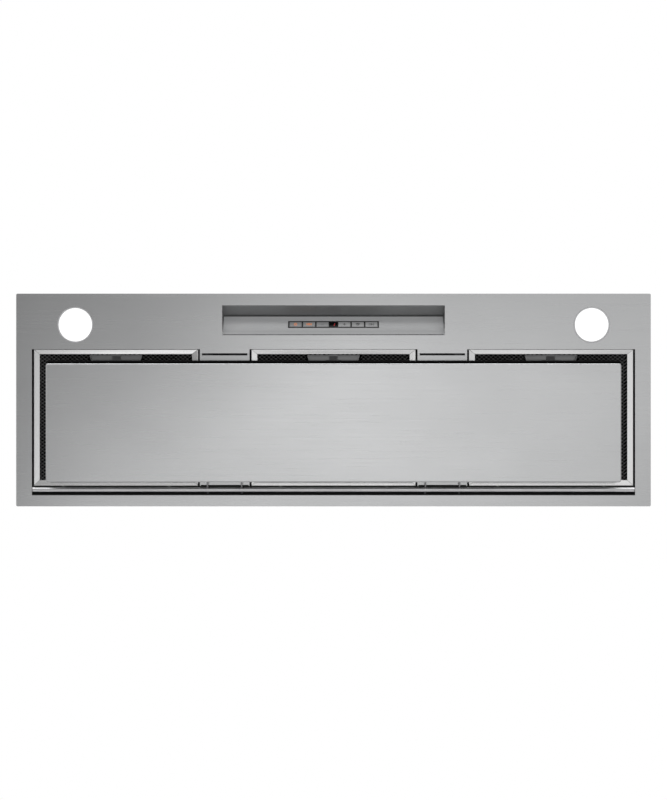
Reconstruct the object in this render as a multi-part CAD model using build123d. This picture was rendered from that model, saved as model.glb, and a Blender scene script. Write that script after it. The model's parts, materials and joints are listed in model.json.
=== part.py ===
from build123d import *

# Built-in range hood insert: a stainless fascia with two lamps, a sunken control strip, three mesh
# grease filters and a hinged suction panel below them, under a casing with a double-inlet blower.
#
# Frame, in millimetres: X runs across, -Y is the cook's side, +Z is up. The origin lies under the
# middle of the fascia, level with the lower face of the closed panel.

import math
import os

# ---------------------------------------------------------------- grease filters
filter_width = 231.7
filter_height = 9.0
filter_side_member = 8.3        # visible widths of the frame's four members
filter_front_member = 6.5
filter_rear_member = 7.6
filter_bevel = 0.6              # rise of the polished face towards the mesh
filter_lip = 1.0                # sheet of the frame's rolled channel
filter_groove = 4.0             # how far the mesh reaches into the channel
filter_stud_radius = 2.4
filter_stud_spread = 150.0
filter_stud_level = 5.8
filter_stud_proud = 0.3         # stud beyond the channel leg it enters
filter_fit = 0.3                # filter edge to the fascia's front lip

mesh_strand = 1.6               # width of an expanded strand
mesh_columns = 6
mesh_rows = 4
mesh_border = 3.0               # pressed flat edge of the mesh beyond the channel

cup_front_width = 74.0
cup_rear_width = 52.0
cup_length = 36.0
cup_sheet = 0.8
cup_fit = 0.2                   # cup to the mesh round it
cup_setback = 2.0               # strip of mesh between the cup and the front member
latch_width = 21.6
latch_length = 16.0
latch_shoulder = 5.4            # latch body behind the cup's front wall
latch_height = 3.6
latch_neck_width = 11.6
latch_tongue_height = 2.0
latch_travel = 6.0
latch_engagement = 4.0          # tongue beyond the front edge of the filter
latch_fit = 0.25
latch_pull_height = 1.4
latch_pull_length = 3.0
spring_strip = 0.5
spring_width = 8.0
spring_leaf_rise = 3.0

# ---------------------------------------------------------------- fascia
fascia_width = 895.0
fascia_depth = 300.0
fascia_sheet = 1.2
fascia_corner = 2.0
fascia_hem = 10.0               # outer edge folded back flat, the seat under the cabinet
fascia_front_border = 78.4
fascia_rear_border = 15.6
fascia_lip_height = 18.0
panel_hang = 22.0               # panel's lower face below the fascia's underside

bridge_gap = 2.6                # filter edge to the bridge tab or the opening's side
bridge_tab_width = 70.0
bridge_tab_reach = 5.7
bridge_slot = 3.0
bridge_slot_width = 64.0
bridge_sheet = 1.2
bridge_rear_gap = 1.0

# ---------------------------------------------------------------- hinge rod and its channel
rod_radius = 3.6
rod_front_gap = 2.1
rod_rear_gap = 4.4
rod_end_gap = 0.6
channel_sheet = 1.2
channel_foot = 2.0              # channel legs end this far over the fascia's underside
hanger_sheet = 2.0
hanger_step = 0.3               # hanger's sides inside the rod's
hanger_inner_reach = 212.0
hanger_end_inset = 1.0
arm_notch_height = 11.0
arm_notch_side = 1.5

# ---------------------------------------------------------------- suction panel
panel_width = 804.8
panel_front_gap = 20.5          # opening's front edge to the panel's front edge
panel_height = 11.0
panel_sheet = 1.0
panel_corner = 3.0
panel_fold = 1.6
panel_hinge_setback = 11.4      # rear edge in front of the hinge axis
liner_sheet = 1.0
liner_fit = 0.2
liner_leg = 14.0
liner_bead_count = 4
liner_bead_length = 92.0
liner_bead_width = 9.0
liner_bead_rise = 1.2
trim_depth = 4.2
trim_height = 8.0
trim_lip = 1.6
trim_end_inset = 1.5

arm_sheet = 2.0
arm_spread = 48.0
arm_ring = 2.1
arm_neck_angle = 30.0           # where the arm's upper edge meets its ring, below the horizontal
arm_base_length = 34.0
arm_base_sheet = 2.0
arm_running_fit = 0.1
arm_mouth_start = -30.0
arm_mouth_end = -118.0

magnet_radius = 8.0
magnet_height = 12.0
magnet_case_wall = 1.6
magnet_setback = 28.0           # from the bridge's front end
strike_radius = 9.0
strike_sheet = 1.5
strike_post_radius = 3.0
strike_gap = 0.3

# ---------------------------------------------------------------- lamps
lamp_x = 364.2
lamp_front_inset = 43.8
lamp_rim_radius = 25.5
lamp_lens_radius = 23.5
lamp_lens_thickness = 2.0
lamp_collar_radius = 29.0
lamp_can_radius = 24.5
lamp_can_height = 16.0
lamp_fin_count = 7
lamp_fin_sheet = 1.6
lamp_fin_height = 12.0
lamp_fit = 0.15

# ---------------------------------------------------------------- control recess
recess_width = 314.2
recess_front_inset = 16.3
recess_valley_run = 14.7        # front edge to the valley
recess_slope_run = 27.5         # valley to the rear edge
recess_valley_rise = 21.5
recess_rear_rise = 3.5
pocket_sheet = 1.0
face_sheet = 1.5
face_end_gap = 1.4
face_edge_gap = 0.6

strip_length = 128.7
strip_width = 12.0
strip_from_rear = 17.5          # strip centre to the rear end of the sloped face
strip_sunk = 0.2
carrier_front = 1.2
carrier_wall = 0.9
carrier_depth = 4.5
carrier_fit = 0.1
key_width = 17.2
key_depth = 8.5
key_rib = 1.95
key_proud = 0.8
key_rim = 0.4
key_rim_sheet = 0.7
key_seat_gap = 0.3
key_stem = 3.0
key_stem_length = 1.3
key_fit = 0.2
key_chamfer = 0.4
display_width = 12.3
display_rib = 0.65
board_sheet = 1.6
board_inset = 0.2
switch_side = 5.0
switch_height = 1.0

# ---------------------------------------------------------------- casing
casing_side_overhang = 18.5
casing_end_overhang = 13.0
casing_height = 110.0
casing_sheet = 1.2
casing_bend = 3.0
casing_flange = 12.0
casing_flange_lift = 2.0
side_fixing_radius = 2.5
side_fixing_spacing = 180.0
side_fixing_height = 62.0
top_ledge_side = 12.0

housing_width = 380.0
housing_depth = 262.0
housing_height = 152.0
housing_sheet = 1.0
housing_corner = 4.0
housing_foot = 12.0

# ---------------------------------------------------------------- duct collar and flaps
collar_radius = 75.0
collar_wall = 1.5
collar_height = 33.0
collar_flange_reach = 13.0
collar_flange_sheet = 1.5
collar_ledge_reach = 4.0
collar_ledge_sheet = 1.5
collar_ledge_rise = 6.0
flap_sheet = 1.2
flap_fit = 0.7
flap_seat_gap = 0.3
flap_rod_radius = 2.0
flap_rod_fit = 0.1
flap_rod_inset = 0.5            # rod's ends inside the collar's outer face
flap_barrel_wall = 1.5
flap_barrel_length = 18.0
flap_barrel_gap = 0.5
flap_barrel_reach = 37.0
flap_root_gap = 0.6

# ---------------------------------------------------------------- blower
wheel_radius = 70.0
wheel_width = 150.0
wheel_y = 30.0
wheel_height = 160.0            # shaft over the panel's lower face
wheel_ring_depth = 6.0
wheel_ring_sheet = 3.0
wheel_disc_sheet = 2.0
wheel_hub_radius = 12.0
wheel_hub_length = 24.0
blade_count = 26
blade_depth = 12.0
blade_sheet = 0.9
blade_sweep = 9.0               # degrees from a blade's root to its tip
blade_bow = 1.6
blade_edge_inset = 0.4
scroll_start_radius = 80.0
scroll_growth = 12.0
scroll_sheet = 1.2
scroll_tongue_angle = 55.0
scroll_side_gap = 5.0
scroll_flange = 10.0
inlet_radius = 60.0
inlet_bell = 8.0

shaft_radius = 4.0
shaft_fit = 0.1
shaft_in_motor = 26.0
motor_radius = 43.0
motor_length = 78.0
motor_gap = 3.0
motor_bell_radius = 26.0
motor_bell_length = 7.0
spider_sheet = 2.0
spider_ring = 4.0
spider_arm_width = 14.0
spider_arm_count = 3
spider_reach = 94.0

# ---------------------------------------------------------------- electrics
capacitor_radius = 17.5
capacitor_length = 62.0
capacitor_end_inset = 139.0     # capacitor's middle inside the casing's end and rear
capacitor_rear_inset = 77.0
capacitor_stud_radius = 4.0
capacitor_stud_length = 9.0
capacitor_nut_radius = 7.5
capacitor_nut_height = 4.0
capacitor_stud_fit = 0.3
box_end_inset = 119.0           # box's middle inside the casing's end and rear
box_rear_inset = 147.0
box_length = 150.0
box_depth = 96.0
box_height = 40.0
box_sheet = 1.0
lid_fit = 0.2
lid_skirt = 10.0
main_board_inset = 6.0
main_board_post = 8.0
post_side = 6.0
relay_length = 19.0
relay_depth = 15.5
relay_height = 15.0
relay_pitch = 24.0
transformer_side = 34.0
transformer_height = 20.0
terminal_length = 36.0
terminal_depth = 18.0
terminal_height = 14.0
bush_radius = 11.0
bush_bore = 5.0
bush_end_inset = 49.0           # bush's middle inside the casing's end and rear
bush_rear_inset = 42.0
bush_head = 4.0
bush_head_height = 3.0
bush_tail = 10.0
bush_tail_wall = 3.0

# ---------------------------------------------------------------- levels and places worked out
fascia_under = panel_hang
fascia_top = fascia_under + fascia_sheet
lip_top = fascia_under + fascia_lip_height
opening_front = fascia_front_border - fascia_depth / 2
filter_pitch = filter_width + bridge_tab_width + 2 * bridge_gap
opening_rear = fascia_depth / 2 - fascia_rear_border
rod_y = opening_rear - rod_rear_gap - rod_radius
rod_z = fascia_under + rod_radius
filter_front = opening_front + filter_fit
filter_rear = rod_y - rod_radius - rod_front_gap
filter_top = fascia_under + filter_height
opening_half = filter_pitch + filter_width / 2 + bridge_gap
bridge_x = filter_pitch / 2
bridge_front = opening_front + bridge_tab_reach + bridge_slot
bridge_rear = filter_rear - bridge_rear_gap
channel_front = filter_rear + bridge_rear_gap / 2

panel_rear = rod_y - panel_hinge_setback
panel_front = opening_front + panel_front_gap
panel_depth = panel_rear - panel_front
panel_y = (panel_front + panel_rear) / 2

casing_half_width = fascia_width / 2 - casing_side_overhang
casing_half_depth = fascia_depth / 2 - casing_end_overhang
casing_top = fascia_top + casing_height
bush_x = casing_half_width - bush_end_inset
bush_y = casing_half_depth - bush_rear_inset
box_x = casing_half_width - box_end_inset
box_y = casing_half_depth - box_rear_inset
capacitor_x = capacitor_end_inset - casing_half_width
capacitor_y = casing_half_depth - capacitor_rear_inset
housing_top = casing_top + housing_height
collar_top = housing_top + collar_height
collar_inner = collar_radius - collar_wall
ledge_top = housing_top + collar_ledge_rise + collar_ledge_sheet
flap_z = ledge_top + flap_seat_gap + flap_sheet / 2

slope_valley_y = recess_front_inset + recess_valley_run - fascia_depth / 2
slope_rear_y = slope_valley_y + recess_slope_run
slope_valley_z = fascia_under + recess_valley_rise
slope_rear_z = fascia_under + recess_rear_rise
slope_length = math.hypot(recess_slope_run, recess_valley_rise - recess_rear_rise)
slope_along = Vector(0, recess_slope_run, recess_rear_rise - recess_valley_rise).normalized()
slope_out = Vector(0, slope_along.Z, -slope_along.Y)
strip_centre = Vector(0, slope_rear_y, slope_rear_z) - slope_along * strip_from_rear
slope_plane = Plane(origin=strip_centre, x_dir=(1, 0, 0), z_dir=slope_out)
key_first = display_width / 2 + display_rib + key_width / 2
key_pitch = key_width + key_rib
key_steps = [-key_first - 2 * key_pitch, -key_first - key_pitch, -key_first,
             key_first, key_first + key_pitch, key_first + 2 * key_pitch]
key_names = ["key_power", "key_light", "key_minus", "key_plus", "key_timer", "key_boost"]
carrier_top = face_sheet - strip_sunk
carrier_back = carrier_top - carrier_front

sides = {"left": -1, "right": 1}
filter_places = {"left": -filter_pitch, "middle": 0.0, "right": filter_pitch}


# ---------------------------------------------------------------- small helpers
def span_box(xs, ys, zs):
    """Box between two limits on each axis."""
    size = [high - low for low, high in (xs, ys, zs)]
    middle = [(high + low) / 2 for low, high in (xs, ys, zs)]
    return Pos(*middle) * Box(*size)


def upright(radius, zs, x=0.0, y=0.0):
    """Cylinder along Z between two levels."""
    return Pos(x, y, (zs[0] + zs[1]) / 2) * Cylinder(radius, zs[1] - zs[0])


def across(radius, xs, y, z):
    """Cylinder along X between two limits."""
    return Pos((xs[0] + xs[1]) / 2, y, z) * Rot(0, 90, 0) * Cylinder(radius, xs[1] - xs[0])


def lengthwise(radius, ys, x, z):
    """Cylinder along Y between two limits."""
    return Pos(x, (ys[0] + ys[1]) / 2, z) * Rot(90, 0, 0) * Cylinder(radius, ys[1] - ys[0])


def side_profile(face, xs):
    """Solid of a side outline, given as a face in (y, z), between two X limits."""
    placed = Plane.YZ.offset(xs[0]) * face
    return extrude(placed, amount=xs[1] - xs[0], dir=(1, 0, 0))


def outline(*points):
    """Face inside straight lines through the points."""
    return make_face(Polyline(*points, close=True))


def frustum(lower, upper, zs):
    """Block whose rectangle changes from (x0, x1, y0, y1) below to another above."""
    faces = []
    for (x0, x1, y0, y1), z in ((lower, zs[0]), (upper, zs[1])):
        faces.append(Pos((x0 + x1) / 2, (y0 + y1) / 2, z) * Rectangle(x1 - x0, y1 - y0))
    return loft(faces, ruled=True)


def save(node, shape):
    """Write one sub-part; a group of separate pieces stays a group."""
    solids = shape.solids()
    kept = solids[0] if len(solids) == 1 else Compound(children=list(solids))
    export_step(kept, f"parts/{node}.step")


# ---------------------------------------------------------------- fascia, bridges, rear channel
def fascia():
    """Stainless sheet with a hemmed edge, its lamp, control and filter openings and a lip."""
    opening_depth = opening_rear - opening_front
    opening_middle = (opening_rear + opening_front) / 2
    sheet = RectangleRounded(fascia_width, fascia_depth, fascia_corner)
    opening = Pos(0, opening_middle) * Rectangle(2 * opening_half, opening_depth)
    tab = Rectangle(bridge_tab_width, bridge_tab_reach)
    tab_y = opening_front + bridge_tab_reach / 2
    for side in sides.values():
        opening -= Pos(side * bridge_x, tab_y) * tab
    sheet -= opening
    lamp_y = lamp_front_inset - fascia_depth / 2
    for side in sides.values():
        sheet -= Pos(side * lamp_x, lamp_y) * Circle(lamp_rim_radius + lamp_fit)
    recess_front = recess_front_inset - fascia_depth / 2
    recess_middle = (recess_front + slope_rear_y) / 2
    sheet -= Pos(0, recess_middle) * Rectangle(recess_width, slope_rear_y - recess_front)
    plate = Pos(0, 0, fascia_under) * extrude(sheet, fascia_sheet)
    hem = RectangleRounded(fascia_width, fascia_depth, fascia_corner)
    hem -= Rectangle(fascia_width - 2 * fascia_hem, fascia_depth - 2 * fascia_hem)
    plate += Pos(0, 0, fascia_top) * extrude(hem, fascia_sheet)
    rim = Rectangle(2 * (opening_half + fascia_sheet), opening_depth + 2 * fascia_sheet)
    rim -= Rectangle(2 * opening_half, opening_depth)
    lip = Pos(0, opening_middle, fascia_under) * extrude(rim, fascia_lip_height)
    for x in filter_places.values():
        lip -= latch_slot(x)
    return plate + lip


def latch_slot(x):
    """Cut in the front lip that a filter's latch tongue enters."""
    half = latch_neck_width / 2 + latch_fit
    low, high = tongue_levels()
    return span_box((x - half, x + half), (opening_front - 2 * fascia_sheet, opening_front),
                    (low - latch_fit, high + latch_fit))


def tongue_levels():
    """Heights between which the latch tongue slides."""
    top = cup_floor_level() - latch_fit
    return top - latch_tongue_height, top


def cup_floor_level():
    """Underside of the cup's floor, hard against the top wall of the filter's channel."""
    return filter_top - filter_lip - cup_sheet


def bridge(side):
    """Inverted tray between two filters, hung between the front lip and the rear channel."""
    x = side * bridge_x
    half = bridge_tab_width / 2
    inner = half - bridge_sheet
    slot_half = bridge_slot_width / 2
    levels = (fascia_under, fascia_under + bridge_sheet)
    tab_end = bridge_front - bridge_slot
    face = span_box((x - half, x + half), (tab_end, bridge_rear), levels)
    face -= span_box((x - slot_half, x + slot_half), (tab_end, bridge_front), levels)
    legs = span_box((x - half, x + half), (opening_front, channel_front), (fascia_top, lip_top))
    legs -= span_box((x - inner, x + inner), (opening_front, channel_front), (fascia_top, lip_top))
    case_radius = magnet_radius + magnet_case_wall
    return face + legs - upright(case_radius, levels, x, magnet_y())


def rear_channel():
    """Inverted channel over the hinge rod: its front leg takes the filters' rear studs."""
    foot = fascia_under + channel_foot
    length = (-opening_half, opening_half)
    body = span_box(length, (channel_front, opening_rear), (foot, lip_top))
    body -= span_box(length, (channel_front + channel_sheet, opening_rear - channel_sheet),
                     (foot, lip_top - channel_sheet))
    leg = (channel_front, channel_front + channel_sheet)
    for x in filter_places.values():
        for step in (-1, 1):
            stud_x = x + step * filter_stud_spread / 2
            body -= lengthwise(filter_stud_radius + filter_fit, leg, stud_x,
                               fascia_under + filter_stud_level)
    for side in sides.values():
        for step in (-1, 1):
            arm_x = side * bridge_x + step * arm_spread / 2
            half = arm_sheet / 2 + arm_notch_side
            body -= span_box((arm_x - half, arm_x + half), leg, (foot, foot + arm_notch_height))
    return body


def hinge_rod():
    """Polished rod that the panel hooks on to, welded to hangers inside the rear channel."""
    half = opening_half - rod_end_gap
    rod = across(rod_radius, (-half, half), rod_y, rod_z)
    end_x = opening_half - hanger_sheet / 2 - hanger_end_inset
    for x in (-end_x, -hanger_inner_reach, 0, hanger_inner_reach, end_x):
        rod += span_box((x - hanger_sheet / 2, x + hanger_sheet / 2),
                        (rod_y - rod_radius + hanger_step, rod_y + rod_radius - hanger_step),
                        (rod_z, lip_top - channel_sheet))
    return rod


# ---------------------------------------------------------------- filters
def filter_frame(x):
    """Mitred, bevelled channel frame with two rear studs and a slot for the latch tongue."""
    half = filter_width / 2
    low, high = fascia_under, filter_top
    outer = (x - half, x + half, filter_front, filter_rear)
    inner = (x - half + filter_side_member, x + half - filter_side_member,
             filter_front + filter_front_member, filter_rear - filter_rear_member)
    edge = filter_lip
    face = (outer[0] + edge, outer[1] - edge, outer[2] + edge, outer[3] - edge)
    frame = span_box(outer[:2], outer[2:], (low, high))
    frame = chamfer(frame.edges().group_by(Axis.Z)[0], edge / 2)
    frame -= frustum(face, inner, (low, low + filter_bevel))
    frame -= span_box(inner[:2], inner[2:], (low, high))
    frame -= mesh_seat(x)
    for step in (-1, 1):
        stud_end = channel_front + channel_sheet + filter_stud_proud
        frame += lengthwise(filter_stud_radius, (filter_rear - edge, stud_end),
                            x + step * filter_stud_spread / 2, low + filter_stud_level)
    return frame - latch_passage(x)


def latch_passage(x):
    """Way for the tongue through the frame's front member and the cup's front wall."""
    half = latch_neck_width / 2 + latch_fit
    low, high = tongue_levels()
    return span_box((x - half, x + half), (filter_front, cup_front() + 2 * cup_sheet),
                    (low - latch_fit, high + latch_fit))


def mesh_seat(x):
    """Space inside the frame's channel that the mesh pad fills."""
    half = filter_width / 2 - filter_side_member + filter_groove
    front = filter_front + filter_front_member - filter_groove
    rear = filter_rear - filter_rear_member + filter_groove
    low = fascia_under + filter_bevel + filter_lip
    return span_box((x - half, x + half), (front, rear), (low, filter_top - filter_lip))


def cup_front():
    """Front edge of the handle cup, behind a strip of mesh along the front member."""
    return filter_front + filter_front_member + cup_setback


def cup_outline(x, grow):
    """Trapezoid of the handle cup, narrowing to the rear."""
    front = cup_front() - grow
    rear = cup_front() + cup_length + grow
    front_half = cup_front_width / 2 + grow
    rear_half = cup_rear_width / 2 + grow
    return outline((x - front_half, front), (x + front_half, front),
                   (x + rear_half, rear), (x - rear_half, rear))


def filter_mesh(x):
    """Expanded metal pad with diamond openings and a cut for the handle cup."""
    pad = mesh_seat(x)
    size = pad.bounding_box()
    edge = filter_groove + mesh_border
    run_x = size.size.X - 2 * edge
    run_y = size.size.Y - 2 * edge
    pitch_x = run_x / mesh_columns
    pitch_y = run_y / mesh_rows
    half_x = pitch_x / 2 - mesh_strand / 2
    half_y = pitch_y / 2 - mesh_strand / 2
    diamond = outline((half_x, 0), (0, half_y), (-half_x, 0), (0, -half_y))
    clear_rear = cup_front() + cup_length + pitch_y / 2
    clear_half = cup_front_width / 2 + pitch_x / 2
    places = []
    for row in range(2 * mesh_rows - 1):
        shift = row % 2
        for column in range(mesh_columns - shift):
            place_x = x - run_x / 2 + (column + 0.5 + shift / 2) * pitch_x
            place_y = size.min.Y + edge + (row + 1) * pitch_y / 2
            beside_cup = abs(place_x - x) > clear_half or place_y > clear_rear
            if beside_cup:
                places.append(Pos(place_x, place_y) * diamond)
    holes = Sketch() + places
    cut = Pos(0, 0, size.min.Z) * extrude(holes, size.size.Z)
    cup_cut = Pos(0, 0, size.min.Z) * extrude(cup_outline(x, cup_fit), size.size.Z)
    return pad - cut - cup_cut - latch_passage(x)


def filter_cup(x):
    """Pressed handle cup let into the mesh, open below, that houses the latch."""
    low = fascia_under + filter_bevel
    high = filter_top - filter_lip
    shell = Pos(0, 0, low) * extrude(cup_outline(x, 0), high - low)
    shell -= Pos(0, 0, low) * extrude(cup_outline(x, -cup_sheet), high - cup_sheet - low)
    half = latch_width / 2 + latch_fit
    for step in (-1, 1):
        xs = sorted((x + step * half, x + step * (half + cup_sheet)))
        shell += span_box(xs, (cup_front() + cup_sheet + latch_travel, latch_rear() + latch_travel),
                          (tongue_levels()[0], high - cup_sheet))
    return shell - latch_passage(x)


def latch_front():
    """Front shoulder of the latch body at rest."""
    return cup_front() + cup_sheet + latch_shoulder


def latch_rear():
    """Rear end of the latch body at rest."""
    return latch_front() + latch_length


def filter_latch(x):
    """Sliding latch: tongue, neck, body and a finger pull."""
    low, high = tongue_levels()
    neck = latch_neck_width / 2
    half = latch_width / 2
    tongue = span_box((x - neck, x + neck), (filter_front - latch_engagement, latch_front()),
                      (low, high))
    nose = (tongue.edges().filter_by(Axis.X).group_by(Axis.Y)[0]).group_by(Axis.Z)[0]
    tongue = chamfer(nose, latch_tongue_height / 2)
    body = span_box((x - half, x + half), (latch_front(), latch_rear()), (high - latch_height, high))
    pull = span_box((x - half, x + half), (latch_rear() - latch_pull_length, latch_rear()),
                    (high - latch_height - latch_pull_height, high - latch_height))
    return tongue + body + pull


def latch_springs():
    """The three leaf springs, one in each filter's cup."""
    return Part() + [latch_spring(x) for x in filter_places.values()]


def latch_spring(x):
    """Leaf spring between the latch and the rear wall of its cup."""
    start = latch_rear()
    end = cup_front() + cup_length - cup_sheet
    top = tongue_levels()[1]
    low = top - spring_leaf_rise
    strip = spring_strip
    third = (end - start) / 3
    under = [(start, low), (start + strip, low), (start + third, top - strip),
             (start + 2 * third, low), (end - strip, top - 2 * strip), (end, top - 2 * strip)]
    over = [(end, top), (end - 2 * strip, top), (start + 2 * third, low + 3 * strip),
            (start + third, top), (start, low + 3 * strip)]
    return side_profile(outline(*under, *over), (x - spring_width / 2, x + spring_width / 2))


# ---------------------------------------------------------------- suction panel
def panel_skin():
    """Folded tray of the suction panel with a rounded fold all round its lower face."""
    tray = Pos(0, panel_y) * extrude(RectangleRounded(panel_width, panel_depth, panel_corner),
                                     panel_height)
    tray = fillet(tray.faces().sort_by(Axis.Z)[0].edges(), panel_fold)
    hollow = RectangleRounded(panel_width - 2 * panel_sheet, panel_depth - 2 * panel_sheet,
                              panel_corner - panel_sheet)
    tray -= Pos(0, panel_y, panel_sheet) * extrude(hollow, panel_height)
    return tray


def panel_liner():
    """Stiffener that closes the tray: a plate with pressed beads and two long legs."""
    half_x = panel_width / 2 - panel_sheet - liner_fit
    front = panel_front + panel_sheet + liner_fit
    rear = panel_rear - panel_sheet - liner_fit
    top = panel_height
    plate = span_box((-half_x, half_x), (front, rear), (top - liner_sheet, top))
    plate = fillet(plate.edges().filter_by(Axis.Z), panel_corner - panel_sheet - liner_fit)
    leg_low = panel_sheet
    for y in (front + liner_leg, rear - liner_leg - liner_sheet):
        plate += span_box((-half_x + liner_leg, half_x - liner_leg), (y, y + liner_sheet),
                          (leg_low, top - liner_sheet))
    pitch = 2 * half_x / liner_bead_count
    for index in range(liner_bead_count):
        x = -half_x + (index + 0.5) * pitch
        outside = (x - liner_bead_width / 2, x + liner_bead_width / 2,
                   panel_y - liner_bead_length / 2, panel_y + liner_bead_length / 2)
        inside = (outside[0] + liner_sheet, outside[1] - liner_sheet,
                  outside[2] + liner_sheet, outside[3] - liner_sheet)
        plate += frustum(outside, inside, (top, top + liner_bead_rise))
        plate -= frustum(inside, inside, (top - liner_sheet, top + liner_bead_rise - liner_sheet))
    return plate


def panel_trim():
    """Dark grip moulding along the panel's front wall, hollow towards the top."""
    low = (panel_height - trim_height) / 2
    high = low + trim_height
    front = panel_front - trim_depth
    half = panel_width / 2 - trim_end_inset
    section = outline((panel_front, low), (front + trim_lip, low), (front, low + trim_lip),
                      (front, high), (front + trim_lip, high), (front + trim_lip, low + 2 * trim_lip),
                      (panel_front - trim_lip, low + 2 * trim_lip), (panel_front - trim_lip, high),
                      (panel_front, high))
    return side_profile(section, (-half, half))


def hinge_brackets():
    """The two brackets, one under each bridge."""
    return Part() + [hinge_bracket(side) for side in sides.values()]


def hinge_bracket(side):
    """Bracket on the panel's liner with two arms that hook over the hinge rod."""
    centre = side * bridge_x
    half = arm_spread / 2 + arm_sheet / 2
    top = panel_height
    base_rear = panel_rear - panel_sheet - liner_fit
    bracket = span_box((centre - half, centre + half), (base_rear - arm_base_length, base_rear),
                       (top, top + arm_base_sheet))
    eye = arm_running_fit + rod_radius
    outer = eye + arm_ring
    neck = math.radians(arm_neck_angle)
    foot_y = base_rear - arm_base_length / 2
    foot_top = top + 2 * arm_base_sheet
    for step in (-1, 1):
        x = centre + step * arm_spread / 2
        xs = (x - arm_sheet / 2, x + arm_sheet / 2)
        arm = side_profile(outline((rod_y - outer * math.cos(neck), rod_z - outer * math.sin(neck)),
                                   (panel_rear, foot_top), (foot_y, foot_top), (foot_y, top),
                                   (base_rear, top), (rod_y, rod_z - outer)), xs)
        arm += across(outer, xs, rod_y, rod_z)
        arm -= across(eye, xs, rod_y, rod_z)
        reach = 2 * outer
        start = math.radians(arm_mouth_start)
        end = math.radians(arm_mouth_end)
        mouth = outline((rod_y, rod_z),
                        (rod_y + reach * math.cos(start), rod_z + reach * math.sin(start)),
                        (rod_y + reach * math.cos(end), rod_z + reach * math.sin(end)))
        bracket += arm - side_profile(mouth, xs)
    return bracket


def magnet_y():
    """Middle of the magnets and strikes from front to rear."""
    return bridge_front + magnet_setback


def catch_magnets():
    """Magnets in their cases, let flush into the bridges."""
    cases = []
    for side in sides.values():
        x = side * bridge_x
        case = upright(magnet_radius + magnet_case_wall,
                       (fascia_under, fascia_under + magnet_height), x, magnet_y())
        well = upright(magnet_radius, (fascia_under, fascia_under + magnet_case_wall / 2), x,
                       magnet_y())
        cases.append(case - well)
    return Part() + cases


def catch_strikes():
    """Steel discs on posts that the magnets hold."""
    strikes = []
    top = fascia_under - strike_gap
    for side in sides.values():
        x = side * bridge_x
        disc = upright(strike_radius, (top - strike_sheet, top), x, magnet_y())
        post = upright(strike_post_radius, (panel_height, top - strike_sheet), x, magnet_y())
        strikes.append(disc + post)
    return Part() + strikes


# ---------------------------------------------------------------- lamps
def lamp_body(side):
    """Lamp can with its rim in the fascia, a collar over it and straight cooling fins."""
    x = side * lamp_x
    y = lamp_front_inset - fascia_depth / 2
    base = fascia_top
    can = upright(lamp_rim_radius, (fascia_under, fascia_top), x, y)
    can += upright(lamp_collar_radius, (base, base + fascia_sheet), x, y)
    can += upright(lamp_can_radius, (base, base + lamp_can_height), x, y)
    can -= upright(lamp_lens_radius + lamp_fit, lens_levels(), x, y)
    fin_base = base + lamp_can_height
    pitch = 2 * lamp_can_radius / lamp_fin_count
    for index in range(lamp_fin_count):
        offset_y = (index + 0.5) * pitch - lamp_can_radius
        reach = math.sqrt(lamp_can_radius ** 2 - (abs(offset_y) + lamp_fin_sheet / 2) ** 2)
        fin_y = y + offset_y
        fin_half = lamp_fin_sheet / 2
        can += span_box((x - reach, x + reach), (fin_y - fin_half, fin_y + fin_half),
                        (fin_base, fin_base + lamp_fin_height))
    return can


def lens_levels():
    """Heights of the lens's lower and upper face."""
    return fascia_under, fascia_under + lamp_lens_thickness


def lamp_lens(side):
    """Round opal lens, flush with the fascia."""
    y = lamp_front_inset - fascia_depth / 2
    return upright(lamp_lens_radius, lens_levels(), side * lamp_x, y)


# ---------------------------------------------------------------- control recess
def pocket_section(grow):
    """Side outline of the recess: steep front, valley, sloped face and a short rear wall."""
    front = recess_front_inset - fascia_depth / 2
    low = fascia_under - casing_sheet
    shape = outline((front, low), (front, fascia_under), (slope_valley_y, slope_valley_z),
                    (slope_rear_y, slope_rear_z), (slope_rear_y, low))
    if grow:
        shape = offset(shape, grow, kind=Kind.INTERSECTION)
    return shape


def control_pocket():
    """Folded pocket over the fascia's opening, with closed ends and a window behind the keys."""
    half = recess_width / 2
    shell = side_profile(pocket_section(pocket_sheet), (-half - pocket_sheet, half + pocket_sheet))
    shell -= side_profile(pocket_section(0), (-half, half))
    size = shell.bounding_box()
    shell -= span_box((size.min.X, size.max.X), (size.min.Y, size.max.Y), (size.min.Z, fascia_top))
    window = Box(strip_length + 2 * carrier_fit, strip_width + 2 * carrier_fit, 4 * pocket_sheet)
    return shell - slope_plane.location * window


def control_face():
    """Brushed plate on the slope that frames the key strip."""
    length = recess_width - 2 * face_end_gap
    rear = strip_from_rear - face_edge_gap
    front = slope_length - strip_from_rear - face_edge_gap - pocket_sheet
    plate = span_box((-length / 2, length / 2), (-rear, front), (0, face_sheet))
    plate -= Pos(0, 0, face_sheet / 2) * Box(strip_length + 2 * carrier_fit,
                                             strip_width + 2 * carrier_fit, face_sheet)
    return slope_plane.location * plate


def key_carrier():
    """Dark moulding with six key windows, a display window and a skirt behind."""
    body = span_box((-strip_length / 2, strip_length / 2), (-strip_width / 2, strip_width / 2),
                    (carrier_back - carrier_depth, carrier_top))
    body -= span_box((-strip_length / 2 + carrier_wall, strip_length / 2 - carrier_wall),
                     (-strip_width / 2 + carrier_wall, strip_width / 2 - carrier_wall),
                     (carrier_back - carrier_depth, carrier_back))
    for x in key_steps:
        body -= Pos(x, 0, carrier_top) * Box(key_width + 2 * key_fit, key_depth + 2 * key_fit,
                                             4 * carrier_front)
    body -= Pos(0, 0, carrier_top) * Box(display_width, key_depth, 4 * carrier_front)
    return slope_plane.location * body


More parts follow.
